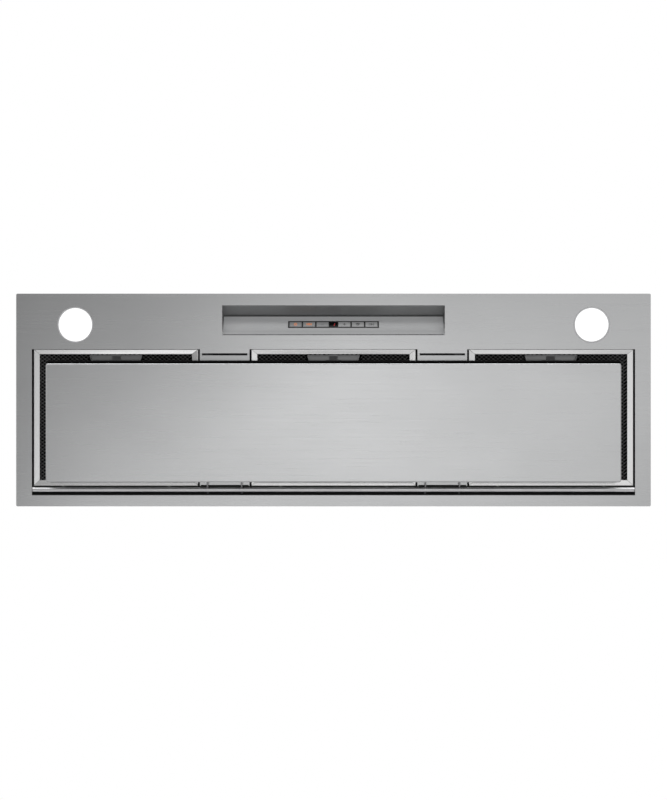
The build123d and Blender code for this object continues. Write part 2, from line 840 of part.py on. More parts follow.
def control_key(x):
    """Key cap with a bevelled top edge, a retaining rim and a stem towards its switch."""
    rim_top = carrier_back - key_seat_gap
    cap = span_box((x - key_width / 2, x + key_width / 2), (-key_depth / 2, key_depth / 2),
                   (rim_top, carrier_top + key_proud))
    cap = chamfer(cap.faces().sort_by(Axis.Z)[-1].edges(), key_chamfer)
    rim = Box(key_width + 2 * key_rim, key_depth + 2 * key_rim, key_rim_sheet)
    rim = Pos(x, 0, rim_top - key_rim_sheet / 2) * rim
    stem_top = rim_top - key_rim_sheet
    stem = Pos(x, 0, stem_top - key_stem_length / 2) * Box(key_stem, key_stem, key_stem_length)
    return slope_plane.location * (cap + rim + stem)


def display_window():
    """Dark window of the single-figure display, held behind the carrier's front."""
    pane = span_box((-display_width / 2, display_width / 2), (-key_depth / 2, key_depth / 2),
                    (carrier_back, carrier_top))
    rim = Box(display_width, key_depth + 2 * key_rim, key_rim_sheet)
    return slope_plane.location * (pane + Pos(0, 0, carrier_back - key_rim_sheet / 2) * rim)


def key_board():
    """Switch board against the carrier's skirt, one switch under each key."""
    top = carrier_back - carrier_depth
    board = Pos(0, 0, top - board_sheet / 2) * Box(strip_length - 2 * board_inset,
                                                   strip_width - 2 * board_inset, board_sheet)
    for x in key_steps:
        board += Pos(x, 0, top + switch_height / 2) * Box(switch_side, switch_side, switch_height)
    return slope_plane.location * board


# ---------------------------------------------------------------- casing
def wrap_section(grow):
    """Side outline of the casing with rounded upper folds, drawn in by a negative growth."""
    half = casing_half_depth + grow
    top = casing_top + grow
    section = outline((-half, fascia_top), (half, fascia_top), (half, top), (-half, top))
    return fillet(section.vertices().group_by(Axis.Y)[-1], casing_bend + grow)


def casing_fold(side):
    """Front (-1) or rear (1) of the casing: a wall, a rounded fold and a flange along the top."""
    xs = (-casing_half_width, casing_half_width)
    sheet = side_profile(wrap_section(0), xs) - side_profile(wrap_section(-casing_sheet), xs)
    flange_edge = side * (casing_half_depth - casing_flange)
    wall = side * (casing_half_depth - casing_sheet)
    sheet = sheet & span_box(xs, sorted((side * casing_half_depth, flange_edge)),
                             (fascia_top, casing_top))
    return sheet - span_box(xs, sorted((wall, flange_edge)),
                            (fascia_top, fascia_top + casing_sheet))


def casing_tops():
    """Two plates beside the motor housing that close the casing and carry the electrics."""
    levels = (casing_top - casing_sheet, casing_top)
    edge = casing_half_depth - casing_flange
    start = housing_width / 2 - top_ledge_side
    left = span_box((-casing_half_width, -start), (-edge, edge), levels)
    left -= upright(capacitor_stud_radius + capacitor_stud_fit, levels, capacitor_x, capacitor_y)
    right = span_box((start, casing_half_width), (-edge, edge), levels)
    right -= upright(bush_radius, levels, bush_x, bush_y)
    return Part() + [left, right]


def casing_end(side):
    """End plate with folded-in flanges on three sides and two fixing holes."""
    outer = side * casing_half_width
    inner = side * (casing_half_width - casing_sheet)
    flange = side * (casing_half_width - casing_flange)
    ends = sorted((outer, inner))
    plate = side_profile(wrap_section(-casing_sheet), ends)
    rim = side_profile(wrap_section(-casing_sheet), sorted((inner, flange)))
    rim -= side_profile(wrap_section(-2 * casing_sheet), sorted((inner, flange)))
    size = rim.bounding_box()
    rim -= span_box((size.min.X, size.max.X), (size.min.Y, size.max.Y),
                    (size.min.Z, lip_top + casing_flange_lift))
    end = plate + rim
    for step in (-1, 1):
        end -= across(side_fixing_radius, ends, step * side_fixing_spacing / 2,
                      fascia_top + side_fixing_height)
    return end


def motor_housing():
    """Upper box over the blower, open below, with feet on the casing and the duct opening."""
    box = extrude(RectangleRounded(housing_width, housing_depth, housing_corner), housing_height)
    hollow = RectangleRounded(housing_width - 2 * housing_sheet, housing_depth - 2 * housing_sheet,
                              housing_corner - housing_sheet)
    box -= extrude(hollow, housing_height - housing_sheet)
    box -= upright(collar_inner, (housing_height - housing_sheet, housing_height))
    for side in sides.values():
        edge = sorted((side * (housing_width / 2 - housing_sheet),
                       side * (housing_width / 2 + housing_foot)))
        half = housing_depth / 2 - housing_corner
        box += span_box(edge, (-half, half), (0, housing_sheet))
    return Pos(0, 0, casing_top) * box


# ---------------------------------------------------------------- duct collar and flaps
def duct_collar():
    """Round spigot on a flange, with an inner ledge that the flaps close on."""
    base = housing_top
    collar = upright(collar_radius, (base, collar_top))
    collar += upright(collar_radius + collar_flange_reach, (base, base + collar_flange_sheet))
    ledge_low = base + collar_ledge_rise
    collar -= upright(collar_inner, (base, ledge_low))
    collar -= upright(collar_inner - collar_ledge_reach, (ledge_low, ledge_top))
    collar -= upright(collar_inner, (ledge_top, collar_top))
    return collar - damper_rod()


def damper_rod():
    """Cross rod that both flaps turn on, held in the collar's wall."""
    half = collar_radius - flap_rod_inset
    return across(flap_rod_radius, (-half, half), 0, flap_z)


def damper_flap(side):
    """Half-round flap with two barrels on the cross rod; side is -1 for front, 1 for rear."""
    radius = collar_inner - flap_fit
    barrel = flap_rod_radius + flap_rod_fit + flap_barrel_wall
    root = barrel + flap_root_gap
    disc = upright(radius, (flap_z - flap_sheet / 2, flap_z + flap_sheet / 2))
    keep = sorted((side * root, side * radius))
    flap = disc & span_box((-radius, radius), keep, (flap_z - flap_sheet, flap_z + flap_sheet))
    for station in (-1, 1):
        middle = station * flap_barrel_reach + side * (flap_barrel_length + flap_barrel_gap) / 2
        xs = (middle - flap_barrel_length / 2, middle + flap_barrel_length / 2)
        flap += span_box(xs, sorted((0, side * root)), (flap_z - flap_sheet / 2, flap_z + flap_sheet / 2))
        flap += across(barrel, xs, 0, flap_z)
        flap -= across(flap_rod_radius + flap_rod_fit, xs, 0, flap_z)
    return flap


# ---------------------------------------------------------------- blower
def blade_face(angle):
    """Cross-section of one forward-curved blade, turned to its place in the wheel."""
    tip = wheel_radius - blade_edge_inset
    root = wheel_radius - blade_depth
    turn = blade_sheet / wheel_radius
    sweep = math.radians(blade_sweep)

    def polar(radius, at):
        return radius * math.cos(at), radius * math.sin(at)

    middle = (tip + root) / 2
    bow = blade_bow / middle
    front = ThreePointArc(polar(root, 0), polar(middle, sweep / 2 - bow), polar(tip, sweep))
    edge = Line(polar(tip, sweep), polar(tip, sweep + turn))
    back = ThreePointArc(polar(tip, sweep + turn), polar(middle, sweep / 2 - bow + turn),
                         polar(root, turn))
    close = Line(polar(root, turn), polar(root, 0))
    return Rot(0, 0, angle) * make_face(front + edge + back + close)


def blower_wheel():
    """Double-inlet wheel: forward-curved blades, a centre disc on a hub and two end rings."""
    half = wheel_width / 2
    ring = Circle(wheel_radius) - Circle(wheel_radius - wheel_ring_depth)
    blades = Sketch() + [blade_face(index * 360 / blade_count) for index in range(blade_count)]
    wheel = Pos(0, 0, -half) * extrude(blades, wheel_width)
    for low in (-half, half - wheel_ring_sheet):
        wheel += Pos(0, 0, low) * extrude(ring, wheel_ring_sheet)
    wheel += Cylinder(wheel_radius - blade_edge_inset, wheel_disc_sheet)
    wheel += Cylinder(wheel_hub_radius, wheel_hub_length)
    wheel -= Cylinder(shaft_radius, 2 * wheel_hub_length)
    return Pos(0, wheel_y, wheel_height) * Rot(0, 90, 0) * wheel


def motor_shaft():
    """Motor shaft through the wheel's hub and into the motor's bearing."""
    start = -wheel_hub_length / 2 - motor_gap
    return across(shaft_radius, (start, motor_start() + shaft_in_motor), wheel_y, wheel_height)


def motor_start():
    """Left end of the motor's can, clear of the wheel's hub."""
    return wheel_hub_length / 2 + motor_gap + motor_bell_length


def motor():
    """Motor can with turned-down bearing bells and a bore for its shaft."""
    start = motor_start()
    end = start + motor_length
    can = across(motor_radius, (start, end), wheel_y, wheel_height)
    can = chamfer(can.edges().filter_by(GeomType.CIRCLE), motor_bell_length / 2)
    for low, high in ((start - motor_bell_length, start), (end, end + motor_bell_length)):
        can += across(motor_bell_radius, (low, high), wheel_y, wheel_height)
    bore = (start - motor_bell_length, start + shaft_in_motor)
    return can - across(shaft_radius + shaft_fit, bore, wheel_y, wheel_height)


def scroll_section(grow):
    """Scroll outline of three quarter arcs, each larger than the last, and the outlet walls."""
    first = scroll_start_radius + grow
    second = first + scroll_growth
    third = second + scroll_growth
    y = wheel_y + scroll_growth / 2
    z = wheel_height - scroll_growth / 2
    angle = scroll_tongue_angle
    tongue = (y + first * math.cos(math.radians(angle)), z + first * math.sin(math.radians(angle)))
    top = housing_top - housing_sheet
    front = y - scroll_growth - third
    start = CenterArc((y, z), first, 0, angle)
    under = CenterArc((y - scroll_growth, z), second, -90, 90)
    rise = CenterArc((y - scroll_growth, z + scroll_growth), third, -180, 90)
    front_wall = Line((front, z + scroll_growth), (front, top))
    mouth = Line((front, top), (tongue[0], top))
    rear_wall = Line((tongue[0], top), tongue)
    return make_face(start + under + rise + front_wall + mouth + rear_wall)


def scroll_half(side):
    """One half of the blower scroll with its flared inlet and the outlet's fixing flange."""
    inner = wheel_width / 2 + scroll_side_gap
    wall = scroll_sheet
    half = side_profile(scroll_section(wall), sorted((0, side * (inner + wall))))
    half -= side_profile(scroll_section(0), sorted((0, side * inner)))
    half -= across(inlet_radius, sorted((side * inner, side * (inner + wall))), wheel_y, wheel_height)
    size = half.bounding_box()
    top = housing_top - housing_sheet
    flange = span_box(sorted((side * (inner + wall), side * (inner + wall + scroll_flange))),
                      (size.min.Y, size.max.Y - scroll_growth), (top - wall, top))
    throat = inlet_radius + wall
    bell = Cone(throat, throat + inlet_bell, inlet_bell) - Cone(inlet_radius, inlet_radius + inlet_bell,
                                                                inlet_bell)
    place = Pos(side * (inner + wall + inlet_bell / 2), wheel_y, wheel_height)
    return half + flange + place * Rot(0, 90 * side, 0) * bell


def motor_spider():
    """Clamp ring round the motor with three strip arms, each on a block on the scroll's side."""
    base = wheel_width / 2 + scroll_side_gap + scroll_sheet
    ring = Circle(motor_radius + spider_ring)
    blocks = Part()
    for index in range(spider_arm_count):
        turn = Rot(0, 0, 90 + index * 360 / spider_arm_count)
        ring += turn * Pos(spider_reach / 2, 0) * Rectangle(spider_reach, spider_arm_width)
        block = span_box((spider_reach - spider_arm_width, spider_reach),
                         (-spider_arm_width / 2, spider_arm_width / 2), (0, inlet_bell))
        blocks += turn * block
    ring -= Circle(motor_radius)
    plate = Pos(0, 0, inlet_bell) * extrude(ring, spider_sheet)
    return Pos(base, wheel_y, wheel_height) * Rot(0, 90, 0) * (plate + blocks)


# ---------------------------------------------------------------- electrics
def run_capacitor():
    """Motor capacitor hung from the casing's top by its stud and nut."""
    top = casing_top - casing_sheet
    can = upright(capacitor_radius, (top - capacitor_length, top), capacitor_x, capacitor_y)
    can = chamfer(can.edges().sort_by(Axis.Z)[0], capacitor_radius / 8)
    stud = (top, top + capacitor_stud_length)
    can += upright(capacitor_stud_radius, stud, capacitor_x, capacitor_y)
    nut = extrude(RegularPolygon(capacitor_nut_radius, 6), capacitor_nut_height)
    return can + Pos(capacitor_x, capacitor_y, casing_top) * nut


def box_limits(inset):
    """Plan limits of the electronics box, drawn in by the inset."""
    half_x = box_length / 2 - inset
    half_y = box_depth / 2 - inset
    return (box_x - half_x, box_x + half_x), (box_y - half_y, box_y + half_y)


def electronics_box():
    """Steel box under the casing's top with four board posts, open below."""
    top = casing_top - casing_sheet
    outer = span_box(*box_limits(0), (top - box_height, top))
    outer -= span_box(*box_limits(box_sheet), (top - box_height, top - box_sheet))
    post_xs, post_ys = box_limits(2 * main_board_inset)
    post = Box(post_side, post_side, main_board_post)
    for x in post_xs:
        for y in post_ys:
            outer += Pos(x, y, top - box_sheet - main_board_post / 2) * post
    return outer


def electronics_lid():
    """Lid of the electronics box with a skirt round its walls."""
    low = casing_top - casing_sheet - box_height
    grow = -(box_sheet + lid_fit)
    lid = span_box(*box_limits(grow), (low - box_sheet, low + lid_skirt))
    return lid - span_box(*box_limits(-lid_fit), (low, low + lid_skirt))


def main_board():
    """Power board on the box's posts with its relays and transformer."""
    high = casing_top - casing_sheet - box_sheet - main_board_post
    low = high - board_sheet
    board = span_box(*box_limits(main_board_inset), (low, high))
    start = box_x - relay_pitch * 2
    for index in range(3):
        x = start + index * relay_pitch
        relay = Box(relay_length, relay_depth, relay_height)
        board += Pos(x, box_y, low - relay_height / 2) * relay
    x = start + 3 * relay_pitch + transformer_side / 2
    transformer = Box(transformer_side, transformer_side, transformer_height)
    board += Pos(x, box_y, low - transformer_height / 2) * transformer
    rear = box_limits(main_board_inset)[1][1]
    board += span_box((box_x - terminal_length / 2, box_x + terminal_length / 2),
                      (rear - terminal_depth, rear), (low - terminal_height, low))
    return board


def cable_bush():
    """Bush for the supply cable in the casing's top."""
    low = casing_top - casing_sheet - bush_tail
    bush = upright(bush_radius, (casing_top - casing_sheet, casing_top), bush_x, bush_y)
    bush += upright(bush_radius + bush_head, (casing_top, casing_top + bush_head_height), bush_x, bush_y)
    bush += upright(bush_bore + bush_tail_wall, (low, casing_top), bush_x, bush_y)
    return bush - upright(bush_bore, (low, casing_top + bush_head_height), bush_x, bush_y)


# ---------------------------------------------------------------- writing the nodes
def build():
    os.makedirs("parts", exist_ok=True)
    save("fascia", fascia())
    for name, side in sides.items():
        save(f"bridge_{name}", bridge(side))
        save(f"lamp_body_{name}", lamp_body(side))
        save(f"lamp_lens_{name}", lamp_lens(side))
        save(f"casing_end_{name}", casing_end(side))
        save(f"scroll_{name}", scroll_half(side))
    save("rear_channel", rear_channel())
    save("hinge_rod", hinge_rod())
    for name, x in filter_places.items():
        save(f"filter_frame_{name}", filter_frame(x))
        save(f"filter_mesh_{name}", filter_mesh(x))
        save(f"filter_cup_{name}", filter_cup(x))
        save(f"filter_latch_{name}", filter_latch(x))
    save("latch_springs", latch_springs())
    save("panel_skin", panel_skin())
    save("panel_liner", panel_liner())
    save("panel_trim", panel_trim())
    save("hinge_brackets", hinge_brackets())
    save("catch_magnets", catch_magnets())
    save("catch_strikes", catch_strikes())
    save("control_pocket", control_pocket())
    save("control_face", control_face())
    save("key_carrier", key_carrier())
    for name, x in zip(key_names, key_steps):
        save(name, control_key(x))
    save("display_window", display_window())
    save("key_board", key_board())
    save("casing_front", casing_fold(-1))
    save("casing_rear", casing_fold(1))
    save("casing_top", casing_tops())
    save("motor_housing", motor_housing())
    save("duct_collar", duct_collar())
    save("damper_rod", damper_rod())
    save("damper_flap_front", damper_flap(-1))
    save("damper_flap_rear", damper_flap(1))
    save("blower_wheel", blower_wheel())
    save("motor_shaft", motor_shaft())
    save("motor", motor())
    save("motor_spider", motor_spider())
    save("run_capacitor", run_capacitor())
    save("electronics_box", electronics_box())
    save("electronics_lid", electronics_lid())
    save("main_board", main_board())
    save("cable_bush", cable_bush())


build()
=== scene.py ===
import json
import math

import bmesh
import bpy
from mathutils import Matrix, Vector


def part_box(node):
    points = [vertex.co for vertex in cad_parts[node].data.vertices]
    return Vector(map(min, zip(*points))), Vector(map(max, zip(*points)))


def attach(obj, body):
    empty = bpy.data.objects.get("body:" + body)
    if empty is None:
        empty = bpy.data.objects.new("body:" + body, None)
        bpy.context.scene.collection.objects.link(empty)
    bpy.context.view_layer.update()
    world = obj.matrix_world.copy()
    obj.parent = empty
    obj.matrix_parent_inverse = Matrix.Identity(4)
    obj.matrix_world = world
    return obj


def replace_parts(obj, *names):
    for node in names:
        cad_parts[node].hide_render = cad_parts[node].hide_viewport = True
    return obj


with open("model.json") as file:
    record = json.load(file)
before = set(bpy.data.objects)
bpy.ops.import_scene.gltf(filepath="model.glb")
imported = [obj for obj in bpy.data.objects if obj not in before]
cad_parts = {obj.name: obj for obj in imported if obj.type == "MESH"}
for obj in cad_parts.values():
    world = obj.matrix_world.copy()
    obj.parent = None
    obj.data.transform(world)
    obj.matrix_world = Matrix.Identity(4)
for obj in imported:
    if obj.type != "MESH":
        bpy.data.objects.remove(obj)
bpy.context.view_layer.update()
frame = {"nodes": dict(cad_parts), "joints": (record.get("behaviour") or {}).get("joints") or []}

# Range hood insert seen from below: brushed stainless fascia and suction panel, polished filter
# frames with expanded mesh, opal lamps, a key strip in a sunken recess and a galvanised casing above.
# Metres, +Z up, the cook's side at -Y.

nodes = frame["nodes"]
joints = {joint["name"]: joint for joint in frame["joints"]}
lamp_sides = ["left", "right"]
filter_names = ["left", "middle", "right"]

# ---------------------------------------------------------------- camera, floor and lights
camera_distance = 2.5               # below the fascia
photo_scale = 0.0014103             # metres to one of the photograph's pixels at the fascia
photo_height = 800
sensor = 0.036
view_limit = 60.0

floor_level = -3.2
floor_side = 8.0
floor_tones = (0.50, 0.50, 0.50), (0.53, 0.53, 0.53)
floor_roughness = 0.9
world_strength = 0.38               # on matt surfaces; in gloss and behind the object it is plain white

under_level = -2.95
under_box_side = 0.6
under_boxes = {                     # middle of each soft box under the object, and its brightness
    (-0.6, -0.55): 0.08, (-0.6, 0.05): 0.38, (-0.6, 0.65): 1.50,
    (0.0, -0.55): 0.25, (0.0, 0.05): 1.42, (0.0, 0.65): 0.10,
    (0.6, -0.55): 0.40, (0.6, 0.05): 0.75, (0.6, 0.65): 1.00,
    (1.2, -0.55): 0.60, (1.2, 0.05): 0.85,
}
large_boxes = {                     # place, point it faces, size and brightness
    "front_box": ((0.0, -2.8, -0.75), (0.0, 0.0, 0.0), (5.0, 1.6), 3.0),
    "over_box": ((0.9, -1.1, 2.2), (0.0, 0.0, 0.15), (2.0, 2.0), 1.8),
}

# ---------------------------------------------------------------- looks
noise_core = (0.3, 0.7)             # the range that most of a noise's values fill

steel_tint = (0.985, 0.992, 1.0)
steel_gloss = (0.235, 0.285)        # least and greatest roughness
brush_across = 1500.0               # fine brushing lines to the metre
brush_along = 14.0
streak_across = 300.0
streak_along = 3.0
brush_depth = 0.0000008

frame_side_member = 0.0083
frame_front_member = 0.0065
frame_rear_member = 0.0076
frame_seam = 0.00028
frame_seam_tone = (0.06, 0.06, 0.06)
frame_side_tone = (0.63, 0.63, 0.63)
frame_front_tone = (0.66, 0.66, 0.66)
# painted light: the rear member's tone is painted much paler than the others so that it shows as bright
# as the front member
frame_rear_painted_light = (0.86, 0.86, 0.86)
frame_wear = 0.9
frame_gloss = (0.16, 0.28)
frame_depth = 0.000006

zinc_crystals = 95.0                # to the metre
zinc_cool = (0.40, 0.415, 0.43)
zinc_pale = (0.55, 0.565, 0.58)

# painted light: between these shares of its depth the control face's lacquer is painted paler, against
# the shade under the recess's front slope
painted_light_start = 0.2           # share of the control face's depth, from its rear edge
painted_light_end = 0.7

lens_glow = 0.75
window_shine = 0.08

# ---------------------------------------------------------------- sizes of the added pieces
on_level = 0.0005                   # vertices this near to a face's level lie on it
smooth_limit = math.radians(35)

mesh_pitch_x = 0.0065
mesh_pitch_y = 0.0050
mesh_strand_thickness = 0.00035
mesh_strand_tilt = math.radians(32)
mesh_layers = [                     # level in the pad, strand width
    (0.0006, 0.0009),
    (0.0022, 0.0016),
    (0.0036, 0.0016),
]
mesh_layer_shift = 0.3              # of the pitch, from layer to layer
# painted shade: between these two heights above the first layer the strands are painted from bright to
# near black
mesh_painted_shade_start = 0.0006            # above the first layer
mesh_painted_shade_end = 0.0014
mesh_channel_gap = 0.001
mesh_cup_gap = 0.0004
mesh_latch_half = 0.0062

lens_dome = 0.0005
lens_edge = 0.0006
lens_edge_steps = 4
lens_rings = 12
lens_segments = 96

glyph_lift = 0.00004
glyph_sheet = 0.00006
glyph_stroke = 0.00055
glyph_bold = 0.00075
digit_height = 0.0044
digit_stroke = 0.0007
digit_slant = 0.35
digit_place = 0.0014

screw_washer_radius = 0.0042
screw_washer_height = 0.0008
screw_hex_radius = 0.0034
screw_hex_height = 0.0026
screw_crown_foot = 0.86             # shares of the hexagon's radius
screw_crown_top = 0.62
screw_edge = 0.007
screw_low = 0.042
screw_high = 0.088
screw_top_reach = 0.060
screw_foot_reach = 0.095
screw_foot_inset = 0.006
housing_sheet = 0.001
collar_flange = 0.013
collar_flange_sheet = 0.0015
collar_screws = 4
collar_screw_start = 45             # degrees


# ---------------------------------------------------------------- node helpers
def plug(tree, socket, value):
    """Links the socket to another one, or sets it to a plain value."""
    if isinstance(value, bpy.types.NodeSocket):
        tree.links.new(value, socket)
    else:
        socket.default_value = value


def add(tree, kind, **values):
    """A node of this kind, each named input linked to a socket or set to a value."""
    node = tree.nodes.new(kind)
    for name, value in values.items():
        plug(tree, node.inputs[name.replace("_", " ")], value)
    return node


def maths(tree, operation, first, second=0.0, third=0.0):
    """Result of a Math node, its inputs being sockets or numbers."""
    node = tree.nodes.new("ShaderNodeMath")
    node.operation = operation
    for socket, value in zip(node.inputs, (first, second, third)):
        plug(tree, socket, value)
    return node.outputs[0]


def weighed(tree, first, second, share):
    """Sum of two values, of which the first has this share and the second has the rest."""
    return maths(tree, "ADD", maths(tree, "MULTIPLY", first, share),
                 maths(tree, "MULTIPLY", second, 1.0 - share))


def spread(tree, value, low, high, start=0.0, end=1.0):
    """The value's range from start to end, laid over low to high."""
    return add(tree, "ShaderNodeMapRange", Value=value, From_Min=start, From_Max=end,
               To_Min=low, To_Max=high).outputs["Result"]


def core(tree, value, low=0.0, high=1.0):
    """The range that most of a noise's values fill, laid over low to high."""
    return spread(tree, value, low, high, *noise_core)


def blend_colours(tree, factor, first, second):
    """Colour between first and second by the factor."""
    node = tree.nodes.new("ShaderNodeMix")
    node.data_type = "RGBA"
    tree.links.new(factor, node.inputs["Factor"])
    for name, value in (("A", first), ("B", second)):
        socket = [s for s in node.inputs if s.name == name and s.type == "RGBA"][0]
        plug(tree, socket, (*value, 1.0) if isinstance(value, tuple) else value)
    return [s for s in node.outputs if s.type == "RGBA"][0]


def scaled(tone, share):
    """The tone with each of its parts times the share."""
    return tuple(part * share for part in tone)


def on_object(tree, scale, centre=(0.0, 0.0, 0.0)):
    """Object coordinates from the centre, times one scale or a scale for each of X, Y and Z."""
    place = tree.nodes.new("ShaderNodeTexCoord")
    moved = add(tree, "ShaderNodeVectorMath", Vector=place.outputs["Object"])
    moved.operation = "SUBTRACT"
    moved.inputs[1].default_value = centre
    stretched = tree.nodes.new("ShaderNodeVectorMath")
    stretched.operation = "MULTIPLY"
    tree.links.new(moved.outputs[0], stretched.inputs[0])
    stretched.inputs[1].default_value = scale if isinstance(scale, tuple) else (scale,) * 3
    return stretched.outputs[0]


def object_place(tree, centre=(0.0, 0.0, 0.0)):
    """X, Y and Z of the object coordinates from the centre."""
    return add(tree, "ShaderNodeSeparateXYZ", Vector=on_object(tree, 1.0, centre)).outputs


def noise(tree, scale, detail):
    """Noise from 0 to 1 over the object, with this many features to the metre."""
    return add(tree, "ShaderNodeTexNoise", Vector=on_object(tree, scale), Scale=1.0,
               Detail=detail, Roughness=0.5).outputs["Fac"]


def start_material(name, metallic=0.0):
    """A node material, its tree and its surface shader."""
    material = bpy.data.materials.new(name)
    material.use_nodes = True
    shader = material.node_tree.nodes["Principled BSDF"]
    shader.inputs["Metallic"].default_value = metallic
    return material, material.node_tree, shader


def coat(tree, shader, colour, roughness, height=None, depth=0.0):
    """Gives the shader its colour, roughness and a relief of this depth from a 0 to 1 height."""
    tree.links.new(colour, shader.inputs["Base Color"])
    tree.links.new(roughness, shader.inputs["Roughness"])
    if height is not None:
        bump = add(tree, "ShaderNodeBump", Height=height, Distance=depth, Strength=1.0)
        tree.links.new(bump.outputs["Normal"], shader.inputs["Normal"])


# ---------------------------------------------------------------- metals and lacquer
def grain(tree, along):
    """Brushing that runs along X (0) or Y (1): fine lines and wider streaks."""
    line, streak = [brush_across] * 3, [streak_across] * 3
    line[along], streak[along] = brush_along, streak_along
    thin = noise(tree, tuple(line), detail=3.0)
    wide = noise(tree, tuple(streak), detail=2.0)
    return weighed(tree, thin, wide, 0.6)


def brushed_steel(name, tone, gloss=steel_gloss):
    """Brushed stainless: fine lines along X and slow cloudiness."""
    material, tree, shader = start_material(name, metallic=1.0)
    lines = grain(tree, 0)
    clouds = noise(tree, (5.0, 9.0, 9.0), detail=4.0)
    shade = core(tree, weighed(tree, lines, clouds, 0.25))
    steel = scaled(steel_tint, tone)
    colour = blend_colours(tree, shade, scaled(steel, 0.95), scaled(steel, 1.05))
    coat(tree, shader, colour, core(tree, lines, *gloss), lines, brush_depth)
    return material


def mitred_steel(name, node):
    """Polished frame steel whose grain follows each member and meets at the mitres; the rear member is
    painted paler as painted light.
    """
    material, tree, shader = start_material(name, metallic=1.0)
    half_width, half_depth, middle = frame_outline(node)
    place = object_place(tree, middle)
    to_side = maths(tree, "SUBTRACT", half_width, maths(tree, "ABSOLUTE", place[0]))
    to_end = maths(tree, "SUBTRACT", half_depth, maths(tree, "ABSOLUTE", place[1]))
    at_rear = maths(tree, "GREATER_THAN", place[1], 0.0)
    front_ratio = frame_side_member / frame_front_member
    rear_ratio = frame_side_member / frame_rear_member
    ratio = maths(tree, "MULTIPLY_ADD", at_rear, rear_ratio - front_ratio, front_ratio)
    offset = maths(tree, "SUBTRACT", maths(tree, "MULTIPLY", to_end, ratio), to_side)
    on_side = maths(tree, "GREATER_THAN", offset, 0.0)
    seam = maths(tree, "LESS_THAN", maths(tree, "ABSOLUTE", offset), frame_seam)
    across = grain(tree, 0)
    deep = grain(tree, 1)
    lines = add(tree, "ShaderNodeMix", Factor=on_side, A=across, B=deep).outputs[0]
    # painted light: the rear member takes its paler painted tone here
    ends = blend_colours(tree, at_rear, frame_front_tone, frame_rear_painted_light)
    fresh = blend_colours(tree, on_side, ends, frame_side_tone)
    worn = blend_colours(tree, on_side, scaled(frame_front_tone, frame_wear),
                         scaled(frame_side_tone, frame_wear))
    steel = blend_colours(tree, core(tree, lines), worn, fresh)
    coat(tree, shader, blend_colours(tree, seam, steel, frame_seam_tone),
         core(tree, lines, *frame_gloss), lines, frame_depth)
    return material


def frame_outline(node):
    """Half width, half depth and middle of a filter frame, without its rear studs."""
    low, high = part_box(node)
    middle_x = (low.x + high.x) / 2
    corner = (high.x - low.x) / 2 - frame_side_member
    rear = max(vertex.co.y for vertex in nodes[node].data.vertices
               if abs(vertex.co.x - middle_x) > corner)
    return (high.x - low.x) / 2, (rear - low.y) / 2, (middle_x, (rear + low.y) / 2, 0.0)


def galvanised_steel(name):
    """Zinc-coated sheet with crystal spangle, dull patches and fine specks."""
    material, tree, shader = start_material(name, metallic=1.0)
    crystal = add(tree, "ShaderNodeTexVoronoi", Vector=on_object(tree, zinc_crystals), Scale=1.0)
    facet = add(tree, "ShaderNodeSeparateColor", Color=crystal.outputs["Color"]).outputs
    dull = noise(tree, 6.0, detail=5.0)
    speck = noise(tree, 900.0, detail=2.0)
    colour = blend_colours(tree, weighed(tree, facet[0], dull, 0.5), zinc_cool, zinc_pale)
    coat(tree, shader, colour, spread(tree, facet[1], 0.30, 0.52),
         maths(tree, "ADD", facet[0], speck), 0.000012)
    return material


def plain_metal(name, tone, gloss, fleck=700.0, metallic=1.0):
    """Cast, rolled, machined or enamelled metal with a fine even fleck."""
    material, tree, shader = start_material(name, metallic)
    fine = noise(tree, fleck, detail=3.0)
    slow = noise(tree, 25.0, detail=3.0)
    shade = core(tree, weighed(tree, fine, slow, 0.5))
    colour = blend_colours(tree, shade, scaled(tone, 0.85), scaled(tone, 1.12))
    coat(tree, shader, colour, core(tree, fine, *gloss), fine, 0.00001)
    return material


def lacquer_with_painted_light(name, shallow, deep):
    """Matt lacquer of the control face, painted paler towards its edge deep in the recess: painted
    light against the shade the recess casts there.
    """
    material, tree, shader = start_material(name)
    low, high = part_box("control_face")
    depth = high.y - low.y
    # painted light mask: 0 towards the rear edge, 1 towards the shaded edge deep in the recess
    painted_light_share = spread(tree, object_place(tree)[1], 0.0, 1.0,
                    high.y - painted_light_start * depth, high.y - painted_light_end * depth)
    fine = noise(tree, 2400.0, detail=3.0)
    dark, light = (blend_colours(tree, painted_light_share, scaled(shallow, share), scaled(deep, share))
                   for share in (0.95, 1.05))
    coat(tree, shader, blend_colours(tree, core(tree, fine), dark, light),
         core(tree, fine, 0.55, 0.65), fine, 0.00001)
    return material


def alloy_with_painted_shade(name, near, far):
    """Mesh alloy: bright strands at the face of the pad, painted near black into its depth as painted
    shade for the shade inside the pad.
    """
    material, tree, shader = start_material(name, metallic=1.0)
    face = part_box("filter_mesh_middle")[0].z + mesh_layers[0][0]
    # painted shade mask: 0 at the pad's face, 1 deeper in the pad
    depth = spread(tree, object_place(tree)[2], 0.0, 1.0, face + mesh_painted_shade_start, face + mesh_painted_shade_end)
    fine = noise(tree, 900.0, detail=2.0)
    worn = blend_colours(tree, core(tree, fine), scaled(near, 0.8), near)
    coat(tree, shader, blend_colours(tree, depth, worn, far), core(tree, fine, 0.34, 0.50),
         fine, 0.000008)
    return material


